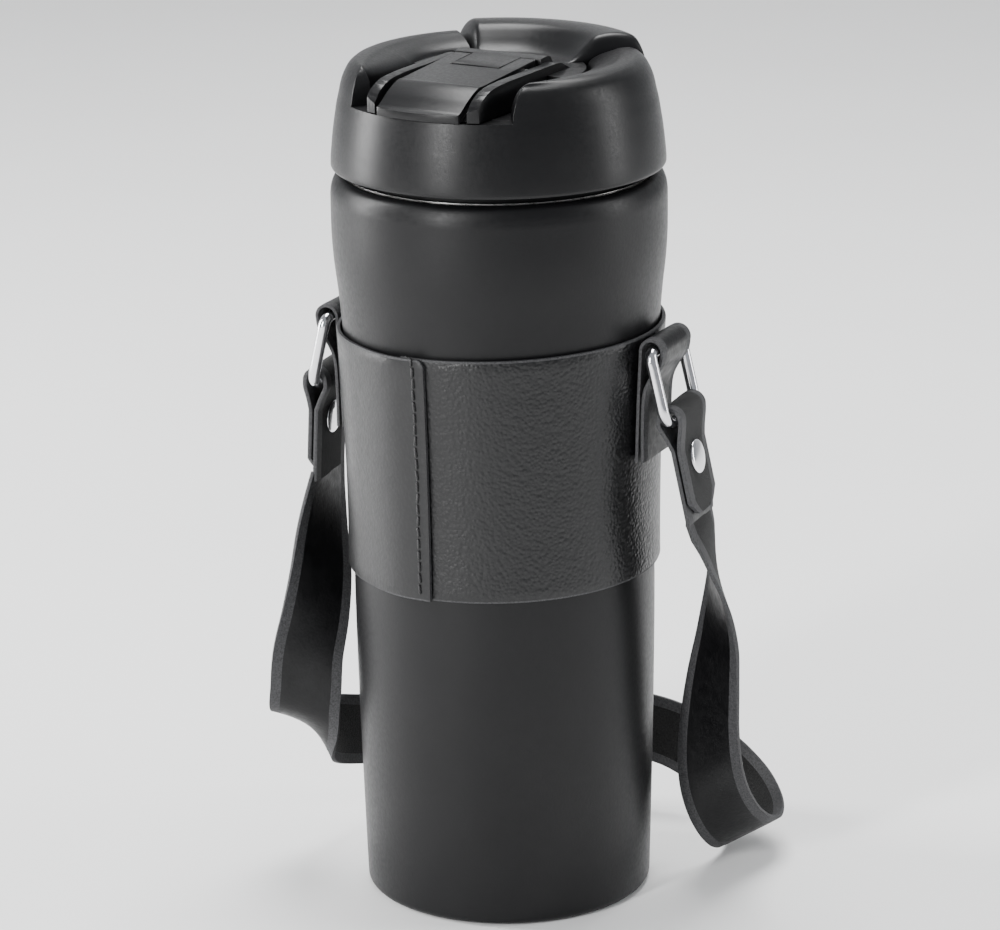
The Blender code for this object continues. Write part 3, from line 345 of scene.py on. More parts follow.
# ---------------------------------------------------------------- mesh tools

def smooth_faces(mesh, sharp):
    """Shade smooth, with sharp edges above an angle in degrees."""
    mesh.shade_smooth()
    mesh.set_sharp_from_angle(angle=math.radians(sharp))


def mesh_object(name, points, faces, finishes, body, nodes=(), sharp=40.0, marks=None):
    """A closed mesh piece that rides on a body; the CAD nodes that it takes the place of are hidden."""
    shape = bmesh.new()
    corners = [shape.verts.new(Vector(point) * MM) for point in points]
    for i, face in enumerate(faces):
        made = shape.faces.new([corners[k] for k in face])
        if marks:
            made.material_index = marks[i]
    bmesh.ops.remove_doubles(shape, verts=shape.verts, dist=0.002 * MM)
    bmesh.ops.dissolve_degenerate(shape, edges=shape.edges, dist=0.001 * MM)
    bmesh.ops.delete(shape, geom=[e for e in shape.edges if not e.link_faces], context="EDGES")
    bmesh.ops.recalc_face_normals(shape, faces=shape.faces)
    mesh = bpy.data.meshes.new(name)
    shape.to_mesh(mesh)
    shape.free()
    for finish in finishes if isinstance(finishes, (list, tuple)) else [finishes]:
        mesh.materials.append(finish)
    smooth_faces(mesh, sharp)
    made = bpy.data.objects.new(name, mesh)
    bpy.context.scene.collection.objects.link(made)
    if body:
        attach(made, body)
    if nodes:
        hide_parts(*nodes)
    return made


def strip_faces(rows, columns, closed_rows=False):
    """Quads between neighbouring closed rows of points that have the same number of columns."""
    faces = []
    for i in range(rows if closed_rows else rows - 1):
        row, after = i * columns, (i + 1) % rows * columns
        for j in range(columns):
            beside = (j + 1) % columns
            faces.append([row + j, after + j, after + beside, row + beside])
    return faces


def end_caps(total, count):
    """Faces over the first and the last row of points."""
    return [list(range(count)), list(range(total - count, total))]


def placed(angle, outline):
    """Points of a (radius, height) outline at an angle round the bottle."""
    turn = math.radians(angle)
    return [(r * math.cos(turn), r * math.sin(turn), z) for r, z in outline]


def turned(name, outline_at, finish, body, nodes=(), angles=None, whole=True, sharp=40.0):
    """Turn a closed (radius, height) outline about the bottle's axis; outline_at gives it for an angle."""
    angles = angles or [360.0 * i / FINE for i in range(FINE)]
    points = []
    for angle in angles:
        outline = outline_at(angle)
        points += placed(angle, outline)
    faces = strip_faces(len(angles), len(outline), whole)
    if not whole:
        faces += end_caps(len(points), len(outline))
    return mesh_object(name, points, faces, finish, body, nodes, sharp)


def extruded(name, outline, low, high, finish):
    """Extrude a closed (y, z) outline along X; it rides on nothing until it is used."""
    count = len(outline)
    points = [(x, y, z) for x in (low, high) for y, z in outline]
    faces = strip_faces(2, count) + end_caps(2 * count, count)
    return mesh_object(name, points, faces, finish, None)


def circle(centre, radius, side, up, sides, shift=0.0):
    """Points round a circle in the plane of two directions."""
    turns = [2 * math.pi * (k + shift) / sides for k in range(sides)]
    return [centre + radius * (math.cos(t) * side + math.sin(t) * up) for t in turns]


def rod(name, start, end, radius, finish, sides=96):
    """A round bar from start to end."""
    start, end = Vector(start), Vector(end)
    along = (end - start).normalized()
    side = along.orthogonal().normalized()
    up = along.cross(side)
    points = []
    for centre in (start, end):
        points += circle(centre, radius, side, up, sides, 0.37)
    faces = strip_faces(2, sides) + end_caps(2 * sides, sides)
    return mesh_object(name, points, faces, finish, None)


def apply_modifiers(target):
    """Replace an object's mesh by its evaluated mesh."""
    bpy.context.view_layer.update()
    graph = bpy.context.evaluated_depsgraph_get()
    mesh = bpy.data.meshes.new_from_object(target.evaluated_get(graph))
    target.modifiers.clear()
    target.data = mesh


def combine(target, other, operation):
    """A Boolean that is applied at once; the other object goes away."""
    step = target.modifiers.new(other.name, "BOOLEAN")
    step.operation = operation
    step.solver = "EXACT"
    step.object = other
    apply_modifiers(target)
    bpy.data.objects.remove(other, do_unlink=True)


def trimmed(target, radius, finish):
    """Cut off what stands out of an upright cylinder."""
    around = [(0.0, CUT_LOW_Z), (radius, CUT_LOW_Z), (radius, CUT_HIGH_Z), (0.0, CUT_HIGH_Z)]
    combine(target, turned("bound", lambda a: around, finish, None), "INTERSECT")


def drilled(target, low, high, vent_radius, finish):
    """Cut the spout's and the vent's holes between two heights."""
    for y, radius, sides in ((SPOUT_Y, SPOUT_RADIUS, 96), (VENT_Y, vent_radius, 48)):
        combine(target, rod("hole", (0, y, low), (0, y, high), radius, finish, sides), "DIFFERENCE")


def pin_bored(target, reach, finish):
    """Cut the lever pin's bore, as far out as the reach on both sides."""
    bore = rod("bore", (-reach, PIN_Y, PIN_Z), (reach, PIN_Y, PIN_Z), PIN_BORE, finish, 48)
    combine(target, bore, "DIFFERENCE")


def softened(target, width):
    """Round the moulded edges."""
    step = target.modifiers.new("edges", "BEVEL")
    step.width = width * MM
    step.segments = 3
    step.limit_method = "ANGLE"
    step.angle_limit = math.radians(28.0)
    apply_modifiers(target)
    smooth_faces(target.data, 35)


def held(value):
    """A number kept between 0 and 1."""
    return max(0.0, min(1.0, value))


def smooth_between(knots, value):
    """A smooth curve through (position, value) knots."""
    if value <= knots[0][0]:
        return knots[0][1]
    if value >= knots[-1][0]:
        return knots[-1][1]
    for i in range(len(knots) - 1):
        if value <= knots[i + 1][0]:
            break
    (x0, y0), (x1, y1) = knots[i], knots[i + 1]
    before = knots[max(i - 1, 0)]
    after = knots[min(i + 2, len(knots) - 1)]
    slope0 = (y1 - before[1]) / (x1 - before[0])
    slope1 = (after[1] - y0) / (after[0] - x0)
    span = x1 - x0
    t = (value - x0) / span
    return (
        (2 * t**3 - 3 * t**2 + 1) * y0
        + (t**3 - 2 * t**2 + t) * span * slope0
        + (3 * t**2 - 2 * t**3) * y1
        + (t**3 - t**2) * span * slope1
    )


def flowing(points, steps):
    """A smooth line through points, with the same number of steps between each pair."""
    knots = [[(float(i), point[axis]) for i, point in enumerate(points)] for axis in range(len(points[0]))]
    count = steps * (len(points) - 1)
    return [tuple(smooth_between(axis, k / steps) for axis in knots) for k in range(count + 1)]


def shell_radius(z):
    """Radius of the painted outside at a height."""
    return smooth_between(SHELL_OUTLINE, z)


def span(low, high, count):
    """Evenly spaced numbers, both ends included."""
    return [low + (high - low) * i / (count - 1) for i in range(count)]


# ---------------------------------------------------------------- bottle

def bottle(paint, steel):
    """The painted shell with its rounded foot and mouth, and the steel wall inside it."""
    quarter = span(0.0, math.pi / 2, 11)
    corner = [(FOOT_RADIUS - 0.85 + 1.9 * math.sin(a), 1.9 - 1.9 * math.cos(a)) for a in quarter]
    foot = [(BASE_HOLE, 0.0), (FOOT_RADIUS - 1.4, 0.0)] + corner
    wall = [(shell_radius(z), z) for z in span(3.0, MOUTH_Z - 5.3, 90)]
    top = flowing([
        (BODY_RADIUS, MOUTH_Z - 4.6), (BODY_RADIUS - 0.3, MOUTH_Z - 2.6), (BODY_RADIUS - 1.15, MOUTH_Z - 0.8),
        (LIP_RADIUS + 0.3, MOUTH_Z - 0.05), (LIP_RADIUS, MOUTH_Z - 0.35),
    ], 4)
    inner = [(BODY_RADIUS - 1.6, MOUTH_Z - 1.8), (BODY_RADIUS - 1.1, MOUTH_Z - 3.2)]
    inner += [(shell_radius(z) - WALL, z) for z in span(MOUTH_Z - 5.3, 3.0, 40)]
    inner += [(FOOT_RADIUS - 0.4, 1.2), (BASE_HOLE, 1.2)]
    outline = foot + wall + top + inner
    turned("shell_painted", lambda angle: outline, paint, "bottle", ["outer_shell"])

    inset = 2 * WALL + 3.0
    heights = span(MOUTH_Z - 29.8, 20.0, 30)
    bend = span(0.2, math.pi / 2, 10)
    corner = 8.0                    # inside radius of the bottom corner
    middle_z = corner + 8.8
    wall_in = shell_radius(heights[-1]) - inset
    middle = wall_in - corner

    def liner(angle):
        bore = [(MOUTH_RADIUS + 0.7, MOUTH_Z + 0.15), (MOUTH_RADIUS + 0.3, MOUTH_Z + 0.2)]
        bore += [(MOUTH_RADIUS, MOUTH_Z - 0.3)] + thread_ridge(angle, MOUTH_Z - 7.3, MOUTH_RADIUS, -0.9)
        bore += [(MOUTH_RADIUS, MOUTH_Z - 11.2)]
        bore += [(MOUTH_RADIUS - 0.9, MOUTH_Z - 12.0), (MOUTH_RADIUS - 0.9, MOUTH_Z - 17.8)]
        inside = [(shell_radius(z) - inset, z) for z in heights]
        inside += [(middle + corner * math.cos(a), middle_z - corner * math.sin(a)) for a in bend]
        inside += [(0.0, 8.8)]
        outside = [(0.0, 8.0), (middle, 8.0)]
        reach = corner + WALL
        outside += [(middle + reach * math.cos(a), middle_z - reach * math.sin(a)) for a in reversed(bend)]
        outside += [(shell_radius(z) - inset + WALL, z) for z in reversed(heights)]
        outside += [(MOUTH_RADIUS - 0.2, MOUTH_Z - 18.3), (MOUTH_RADIUS - 0.2, MOUTH_Z - 12.4)]
        outside += [(MOUTH_RADIUS + 0.7, MOUTH_Z - 11.5)]
        return bore + inside + outside

    inside = turned("liner_steel", liner, [steel, paint], "bottle", ["inner_liner"], sharp=30.0)
    # The liner's faces above the mouth line take the black coat instead of steel: painted shade, so the gap
    # under the lid renders dark.
    for face in inside.data.polygons:
        if face.center.z > (MOUTH_Z - 1.2) * MM:
            face.material_index = 1


def thread_ridge(angle, first, wall, height):
    """A rounded thread ridge at an angle, from top to bottom; a negative height points in."""
    run, fade = 150.0, 15.0         # degrees that a ridge goes round, and that it rises over
    place = angle % 180.0
    rise = held(min(place, run - place) / fade)
    centre = first + THREAD_LEAD * place / 360.0
    shape = [(1.0, 0.0), (0.8, 0.35), (0.5, 1.0), (0.0, 1.05), (-0.5, 1.0), (-0.8, 0.35), (-1.0, 0.0)]
    return [(wall + height * rise * share, centre + up) for up, share in shape]


# ---------------------------------------------------------------- lid

RIM_EDGE_Z = LID_FLOOR_Z + 7.8
RIM_EDGE_RADIUS = LID_TOP_RADIUS - 3.75
LID_SIDE = [(LID_Z + z, BODY_RADIUS - inset) for z, inset in (
    (0.8, 0.25), (2.4, 0.33), (4.6, 0.53), (8.4, 0.95), (12.4, 1.55), (14.8, 1.95),
)]
LID_SIDE += [(LID_FLOOR_Z + z, LID_TOP_RADIUS - inset) for z, inset in (
    (0.0, 0.0), (2.9, 0.65), (4.8, 1.35), (6.7, 2.45), (7.8, 3.75),
)]
RIM_OVER = [(LID_TOP_RADIUS - inset, LID_FLOOR_Z + z) for inset, z in (
    (3.75, 7.8), (5.55, 8.5), (7.75, 8.4), (9.25, 7.9),
)]
RIM_OVER += [(WELL_RADIUS + out, LID_FLOOR_Z + z) for out, z in ((3.2, 6.9), (1.0, 5.5), (0.0, 3.2))]
RIM_TOP_Z = LID_FLOOR_Z + 8.6
NOTCH_HALF = 35.2
NOTCH_SLOPE = 9.0
HUMP_HALF = 45.0
HUMP_ROUND = 6.0
NOTCHES = ((270.0, NOTCH_HALF, NOTCH_SLOPE), (90.0, HUMP_HALF + 0.8, 2.0))     # middle, half, slope
SOFT = 0.7                      # height over which the cut-down rim is rounded


def lid_radius(z):
    """Radius of the lid's outside at a height."""
    return smooth_between(LID_SIDE, z)


def apart(angle, middle):
    """Degrees between two directions."""
    return abs((angle - middle + 180.0) % 360.0 - 180.0)


def notch_wall(angle, middle, half, slope):
    """Height of the rim beside a notch: its floor, a quarter-round rise, then the full rim."""
    share = held((apart(angle, middle) - half) / slope)
    return LID_FLOOR_Z + (RIM_TOP_Z - LID_FLOOR_Z) * math.sqrt(1 - (1 - share) ** 2)


def rim_cap(angle):
    """Height that the rim reaches at an angle: lowered at the front notch and at the hump."""
    return min(notch_wall(angle, *notch) for notch in NOTCHES)


def well_radius(angle):
    """Radius of the wall round the wells: it opens out to run alongside the bridge at the front."""
    away = apart(angle, 270.0)
    if away > 90.0:
        return WELL_RADIUS
    return min(WELL_WIDEST, max(WELL_RADIUS, WELL_HALF / math.sin(math.radians(max(away, 20.0)))))


def rounded_min(value, cap):
    """The smaller of two heights with a rounded change between them."""
    share = held(0.5 + (cap - value) / (2 * SOFT))
    return cap + (value - cap) * share - SOFT * share * (1 - share)


def rim_side(cap):
    """The rim's outside from the lid's floor up, bent in over the height that it may reach."""
    edge = lid_radius(min(cap, RIM_EDGE_Z))
    side = []
    for z in span(LID_FLOOR_Z, RIM_EDGE_Z, 22)[1:]:
        level = rounded_min(z, cap) if cap < RIM_TOP_Z - 0.05 else z
        radius = lid_radius(z) if z < cap else edge - (z - cap) * 0.12
        side.append((radius, max(level, LID_FLOOR_Z)))
    return side


def lid_section(angle):
    """Cross-section of the lid at an angle, with soft edges where the rim is cut down."""
    cap = rim_cap(angle)
    well = well_radius(angle)
    foot = [(BODY_RADIUS - 2.75, LID_Z), (BODY_RADIUS - 0.75, LID_Z), (BODY_RADIUS - 0.4, LID_Z + 0.12)]
    foot += [(BODY_RADIUS - 0.26, LID_Z + 0.42)]
    side = [(lid_radius(z), z) for z in span(LID_Z + 0.8, LID_FLOOR_Z, 22)]
    upper = rim_side(cap)
    start = upper[-1][0]
    squeeze = (RIM_EDGE_RADIUS - well) / (RIM_EDGE_RADIUS - WELL_RADIUS)
    over = []
    for r, z in flowing(RIM_OVER, 5)[1:]:
        place = RIM_EDGE_RADIUS - (RIM_EDGE_RADIUS - r) * squeeze
        if start < RIM_EDGE_RADIUS:
            place = well + (place - well) * (start - well) / (RIM_EDGE_RADIUS - well)
        over.append((place, max(LID_FLOOR_Z, min(z, rounded_min(z, cap)))))
    low = LID_FLOOR_Z - LID_WALL
    fillet = LID_FLOOR_Z + 1.2 * min(1.0, (over[-1][1] - LID_FLOOR_Z) / 3.0)
    floor = [(well, fillet), (well - 0.15, LID_FLOOR_Z + 0.25), (well - 0.5, LID_FLOOR_Z)]
    under = [(0.0, LID_FLOOR_Z), (0.0, low), (well, low), (LID_TOP_RADIUS - 2.0, low)]
    inside = [(lid_radius(z) - LID_WALL, z) for z in span(LID_FLOOR_Z - 3.0, LID_Z + 0.8, 6)]
    return foot + side + upper + over + floor + under + inside


def lid_steps():
    """Angles of the lid's facets, closer together where the rim rises."""
    angles = set(span(0.0, 360.0, FINE + 1)[:-1])
    for middle, half, slope in NOTCHES:
        for side in (-1, 1):
            for k in range(25):
                share = (k / 24.0) ** 2
                angles.add((middle + side * (half + share * slope)) % 360.0)
    kept = []
    for angle in sorted(angles):
        if not kept or angle - kept[-1] > 0.05:
            kept.append(angle)
    return kept


def lid(plastic, inner_plastic):
    """The lid's outside and the threaded plug under it."""
    steps = lid_steps()
    shell = turned("lid_outside", lid_section, plastic, "lid", ["lid_shell"], steps, sharp=32.0)
    drilled(shell, LID_FLOOR_Z - 5.0, LID_FLOOR_Z + 5.0, VENT_RADIUS, plastic)
    smooth_faces(shell.data, 32)

    radius = MOUTH_RADIUS - 1.4
    bottom = MOUTH_Z - 17.3
    edge = lid_radius(LID_Z + 0.8) - LID_WALL - 0.6
    top = [(radius - 2.6, LID_Z + 2.6), (edge - 0.4, LID_Z + 2.6), (edge, LID_Z + 2.2), (edge, LID_Z + 0.6)]
    top += [(edge - 0.3, LID_Z + 0.4), (radius + 0.4, LID_Z + 0.4), (radius, LID_Z)]
    groove = [(radius, bottom + 5.1), (radius - 2.0, bottom + 5.1), (radius - 2.0, bottom + 1.8)]
    groove += [(radius - 0.3, bottom + 1.8), (radius - 0.4, bottom + 0.6), (radius - 1.0, bottom)]
    floor = [(0.0, bottom), (0.0, bottom + 2.0), (radius - 3.6, bottom + 2.0)]

    def section(angle):
        return top + thread_ridge(angle, MOUTH_Z - 9.3, radius, 1.0) + groove + floor

    plug = turned("plug_threaded", section, inner_plastic, "lid", ["lid_plug"], sharp=30.0)
    drilled(plug, bottom - 2.0, bottom + 4.0, VENT_RADIUS / 2, inner_plastic)
    smooth_faces(plug.data, 30)


HUMP_OVER = [(WELL_RADIUS + out, PLATFORM_Z + z) for out, z in (
    (-5.5, -0.04), (-3.5, 0.3), (-1.5, 1.4), (0.8, 3.4), (2.8, 5.0), (4.8, 5.7), (8.0, 5.9),
)]
HUMP_OVER += [(LID_TOP_RADIUS - inset, PLATFORM_Z + z) for inset, z in (
    (4.15, 5.4), (2.35, 4.3), (1.45, 2.4), (1.15, 0.4),
)]
HUMP_OVER += [(LID_TOP_RADIUS - 0.35, LID_FLOOR_Z + 2.6), (LID_TOP_RADIUS - 0.05, LID_FLOOR_Z + GAP)]


def hump_section(angle):
    """Cross-section of the raised hump behind the platform; its ends rise in a quarter round."""
    base = LID_FLOOR_Z + GAP
    share = max(0.0012, held((HUMP_HALF - apart(angle, 90.0)) / HUMP_ROUND))
    rise = math.sqrt(1 - (1 - share) ** 2)
    edge = WELL_RADIUS - 0.5
    outline = [(WELL_RADIUS - 6.5, base), (WELL_RADIUS - 6.5, PLATFORM_Z - 0.5)]
    for r, z in flowing(HUMP_OVER, 4):
        inner = min(r, edge)
        spread = inner + (r - inner) * min(1.0, rise * 4)
        over = max(0.0, z - PLATFORM_Z)
        outline.append((spread, min(z, PLATFORM_Z) + over * rise))
    return outline


def nose(offsets):
    """Points (y, z) given as distance back from the lever's tip and height over the lid's floor."""
    return [(back - TIP_RADIUS, LID_FLOOR_Z + height) for back, height in offsets]


def bridge(plastic):
    """The insert that holds the lever: ridges, channel, hinge block and the raised hump."""
    base = LID_FLOOR_Z + GAP
    front = nose([(0.1, GAP), (2.0, 1.1), (3.2, 2.9), (5.2, 4.9), (8.1, 6.3), (11.6, 7.0), (17.6, 7.3)])
    rear = [(1.5, RIDGE_TOP_Z), (4.0, RIDGE_TOP_Z - 0.25), (6.0, PLATFORM_Z + 0.9), (8.0, PLATFORM_Z)]
    side_view = flowing(front, 5) + [(0.2, RIDGE_TOP_Z)] + flowing(rear, 4) + [(8.0, base)]
    made = extruded("bridge_insert", side_view, -BRIDGE_HALF, BRIDGE_HALF, plastic)
    trimmed(made, LID_TOP_RADIUS - 0.05, plastic)
    edge = WELL_RADIUS - 0.5
    level = [(5.0, base), (5.0, PLATFORM_Z), (edge, PLATFORM_Z), (edge, base)]
    half_turn = span(-10.0, 190.0, 90)
    platform = turned("rear", lambda a: level, plastic, None, angles=half_turn, whole=False)
    combine(made, platform, "UNION")
    half = [HUMP_HALF - HUMP_ROUND * (k / 14.0) ** 2 for k in range(15)] + [37.0 - 2.0 * k for k in range(18)]
    sweep = [90.0 - away for away in half] + [90.0] + [90.0 + away for away in reversed(half)]
    hump = turned("hump", hump_section, plastic, None, angles=sweep, whole=False)
    combine(made, hump, "UNION")
    top = PIN_Z + PIN_COVER
    plate = [(-14.0, base + 1.0), (-14.0, top - 0.3), (PIN_Y, top), (0.0, top + 0.35), (3.2, top + 0.55)]
    plate += [(4.6, top + 0.2), (5.4, top - 0.9), (6.5, PLATFORM_Z + 0.2), (6.5, base + 1.0)]
    combine(made, extruded("plate", plate, 0.5 - CHANNEL_HALF, CHANNEL_HALF - 0.5, plastic), "UNION")
    start = PIN_Y - 4.5
    channel = [(-TIP_RADIUS - 8.0, CUT_LOW_Z), (3.0 - TIP_RADIUS, CUT_LOW_Z)]
    channel += flowing(nose([(4.0, 0.7), (6.1, 1.9), (9.1, 2.7)]), 4)
    channel += [(start, CHANNEL_FLOOR_Z), (start, CUT_HIGH_Z), (-TIP_RADIUS - 8.0, CUT_HIGH_Z)]
    combine(made, extruded("channel", channel, -CHANNEL_HALF, CHANNEL_HALF, plastic), "DIFFERENCE")
    pocket = [(start - 1.5, CUT_LOW_Z), (0.0, CUT_LOW_Z), (0.0, CUT_HIGH_Z), (start - 1.5, CUT_HIGH_Z)]
    for side in (-1, 1):
        x0, x1 = sorted((side * TONGUE_HALF, side * CHANNEL_HALF))
        combine(made, extruded("pocket", pocket, x0, x1, plastic), "DIFFERENCE")
    drilled(made, CUT_LOW_Z, CHANNEL_FLOOR_Z + 2.0, VENT_RADIUS, plastic)
    pin_bored(made, 9.2, plastic)
    softened(made, 0.45)
    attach(made, "lid")
    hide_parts("lid_bridge")


def lever_top(y):
    """Height of the lever's flat top at a place along it."""
    return PIN_Z + PIN_COVER + LEVER_SLOPE * (y - PIN_Y)


def lever(plastic):
    """The flip lever: a plate that bends down over the spout, with two ears round the pin."""
    rear = PIN_Y + 4.7
    straight = 12.6 - TIP_RADIUS
    over = [(straight, lever_top(straight))]
    over += nose([(11.0, 6.72), (8.6, 5.95), (6.1, 4.75), (4.0, 3.45), (2.4, 2.5)])
    outline = [(rear, lever_top(rear)), (-12.0, lever_top(-12.0))] + flowing(over, 5)
    outline += nose([(1.6, 2.2), (0.8, 2.1), (-1.4, 1.9), (-1.4, GAP), (2.6, GAP)])
    outline += flowing(nose([(3.8, 1.0), (5.8, 2.3), (8.1, 3.4), (10.6, 4.0)]), 4)
    outline += [(-13.5, lever_top(-13.5) - LEVER_THICK), (PIN_Y - 2.4, PIN_Z - 0.9)]
    ear = 2.2                       # radius of the ears under the pin
    outline += [(PIN_Y + ear * math.cos(a), PIN_Z + ear * math.sin(a)) for a in span(-2.4, -0.6, 10)]
    outline += [(rear, PIN_Z + 0.2)]
    made = extruded("lever_plate", outline, -LEVER_HALF, LEVER_HALF, plastic)
    trimmed(made, TIP_RADIUS, plastic)
    clear = 5.3                     # radius of the room for the hinge block's tongue
    arc = [math.radians(a) for a in range(-40, 41, 4)]
    notch = [(PIN_Y - clear * math.cos(a), PIN_Z + clear * math.sin(a)) for a in arc]
    notch += [(3.0, CUT_HIGH_Z), (3.0, CUT_LOW_Z)]
    combine(made, extruded("notch", notch, -TONGUE_HALF - GAP, TONGUE_HALF + GAP, plastic), "DIFFERENCE")
    pin_bored(made, 20.0, plastic)
    softened(made, 0.4)
    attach(made, "lever")
    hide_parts("flip_lever")


# ---------------------------------------------------------------- leather

SEAM = -87.0                    # angle of the overlap's free end
LAP = 10.0                      # degrees that it covers
RAMP = 26.0                     # degrees over which the leather climbs onto it
STITCH_PITCH = 2.75


def sleeve_outline(angle):
    """Closed (radius, height) outline of the leather at an angle, lifted near the overlap."""
    climb = held((angle - (SEAM + 360.0 - LAP - RAMP)) / RAMP)
    lift = (3 * climb**2 - 2 * climb**3) * (SLEEVE_THICK + 0.12)
    tilt = math.cos(math.radians(angle - 28.0))
    corner = max(0.0, angle - (SEAM + 360.0 - 2.6)) / 2.6
    top = SLEEVE_TOP_Z - 0.9 + 0.9 * tilt - 1.6 * (1 - math.sqrt(max(0.0, 1 - corner**2)))
    low = SLEEVE_LOW_Z + 0.9 + 0.7 * tilt
    outside = []
    for z in [low + 0.15] + span(low + 0.5, top - 0.5, 26) + [top - 0.15]:
        ripple = math.sin(math.radians(angle * 3.0) + z * 0.06) * math.sin(math.radians(angle * 1.7) + 1.0)
        outside.append((shell_radius(z) + GAP + SLEEVE_THICK + lift + 0.12 * ripple + 0.12, z))
    for i, down in ((0, 0.1), (-1, -0.1)):
        outside[i] = (outside[i][0] - 0.18, outside[i][1] - down)
    inside = [(r - SLEEVE_THICK, z) for r, z in reversed(outside)]
    for i in (0, -1):
        inside[i] = (inside[i][0] + 0.3, inside[i][1])
    return outside + inside


def sleeve(leather, edge_finish, thread_finish):
    """Leather wound once round the bottle, its left end lying over its right end at the seam."""
    angles = span(SEAM - LAP, SEAM + 360.0, 380)
    points = []
    for angle in angles:
        outline = sleeve_outline(angle)
        points += placed(angle, outline)
    count = len(outline)
    faces = strip_faces(len(angles), count)
    edge_columns = {count // 2 - 1, count - 1, 0, count // 2 - 2, count // 2, count - 2}
    marks = [int(i % count in edge_columns) for i in range(len(faces))] + [1, 1]
    faces += end_caps(len(points), count)
    finishes, slot, nodes = [leather, edge_finish], "sleeve_leather", ["sleeve"]
    made = mesh_object("leather_sleeve", points, faces, finishes, "sleeve", nodes, 50.0, marks)
    stitches(thread_finish)


def capsule(start, end, radius):
    """Points and faces of a bar with round ends."""
    sides = 10
    along = (end - start).normalized()
    side = along.orthogonal().normalized()
    up = along.cross(side)
    dome = span(0.0, math.pi / 2 - 0.05, 4)
    points = []
    for centre, tilt in [(start, -a) for a in reversed(dome)] + [(end, a) for a in dome]:
        points += circle(centre + radius * math.sin(tilt) * along, radius * math.cos(tilt), side, up, sides)
    return points, strip_faces(2 * len(dome), sides) + end_caps(len(points), sides)


def stitches(finish):
    """A row of stitches beside the flap's edge, and the thread's short end at the top."""
    over = GAP + 2 * SLEEVE_THICK
    bars = []
    for i in range(int((SLEEVE_TOP_Z - SLEEVE_LOW_Z - 4.0) / STITCH_PITCH)):
        z = SLEEVE_LOW_Z + 3.4 + i * STITCH_PITCH
        outward, aside = side_frame(SEAM - 3.9 + random.uniform(-0.12, 0.12))
        middle = outward * (shell_radius(z) + over + 0.38) + Vector((0.0, 0.0, z))
        half = Vector((0.0, 0.0, 0.86)) + aside * random.uniform(-0.12, 0.12)
        bars.append((middle - half, middle + half, 0.34))
    z = SLEEVE_TOP_Z - 1.2
    outward, aside = side_frame(SEAM - 4.2)
    base = outward * (shell_radius(z) + over + 0.35) + Vector((0.0, 0.0, z))
    ends = [base - Vector((0, 0, 1.5)), base, base + outward * 0.25 - aside * 1.1 + Vector((0, 0, 0.5))]
    bars += [(start, end, 0.24) for start, end in zip(ends, ends[1:])]
    points, faces = [], []
    for bar in bars:
        new_points, new_faces = capsule(*bar)
        faces += [[k + len(points) for k in face] for face in new_faces]
        points += new_points
    mesh_object("sleeve_stitches", points, faces, finish, "sleeve")


def side_frame(angle):
    """Outward and sideways directions at an angle round the bottle."""
    turn = math.radians(angle)
    return Vector((math.cos(turn), math.sin(turn), 0)), Vector((-math.sin(turn), math.cos(turn), 0))


def bar_place():
    """Distance of the ring's bar from the bottle's axis."""
    return shell_radius(BAR_Z) + GAP + SLEEVE_THICK + GAP + TAB_THICK + TAB_SLACK + WIRE_RADIUS


def ring_frame(angle):
    """The ring's own frame on one side: a point, outward and sideways."""
    straight, _ = side_frame(angle)
    out, side = side_frame(angle + RING_YAW)
    return (straight - out) * bar_place(), out, side


def wire_place():
    """Where the ring's bottom wire is: distance out and height."""
    tilt = math.radians(RING_TILT)
    return bar_place() + RING_DROP * math.sin(tilt), BAR_Z - RING_DROP * math.cos(tilt)


def band_out(drop, lean):
    """Distance out of the main band at a depth below the wire."""
    return wire_place()[0] - END_INSET + drop * math.tan(math.radians(lean))


SECTION_MARKS = [0] * 6 + [1] * 5 + [2] * 6 + [1] * 5     # smooth face, edge, suede, edge


def band_section(middle, face, width, thick, half):
    """Points round a band's cross-section: seven across its top, four on its edge, and both again."""
    flat = 1 - thick / half * 0.5
    corner = 1 - 0.08 * thick / half
    shape = [(1.0, s * flat) for s in span(-1.0, 1.0, 9)[1:-1]]
    shape += [(0.82, corner), (0.35, 1.0), (-0.35, 1.0), (-0.82, corner)]
    shape += [(-up, -out) for up, out in shape]
    return [middle + face * up * thick / 2 + width * out * half for up, out in shape]


def band_mesh(name, stations, finishes, body, nodes=(), ends=(1, 1)):
    """A leather band from (middle, face direction, width direction, thickness, half width) stations."""
    points = []
    for station in stations:
        points += band_section(*station)
    count = len(SECTION_MARKS)
    faces = strip_faces(len(stations), count) + end_caps(len(points), count)
    marks = SECTION_MARKS * (len(stations) - 1) + list(ends)
    return mesh_object(name, points, faces, finishes, body, nodes, 50.0, marks)


def swept(path, frame_at, thick):
    """Stations of a band from (out, height, half width) places in a side frame."""
    base, out, side = frame_at
    stations = []
    for i, (u, z, half) in enumerate(path):
        before = path[max(i - 1, 0)]
        after = path[min(i + 1, len(path) - 1)]
        along = Vector((after[0] - before[0], after[1] - before[1])).normalized()
        face = -along.y * out + Vector((0, 0, along.x))
        stations.append((base + out * u + Vector((0, 0, z)), face, side, thick, half))
    return stations


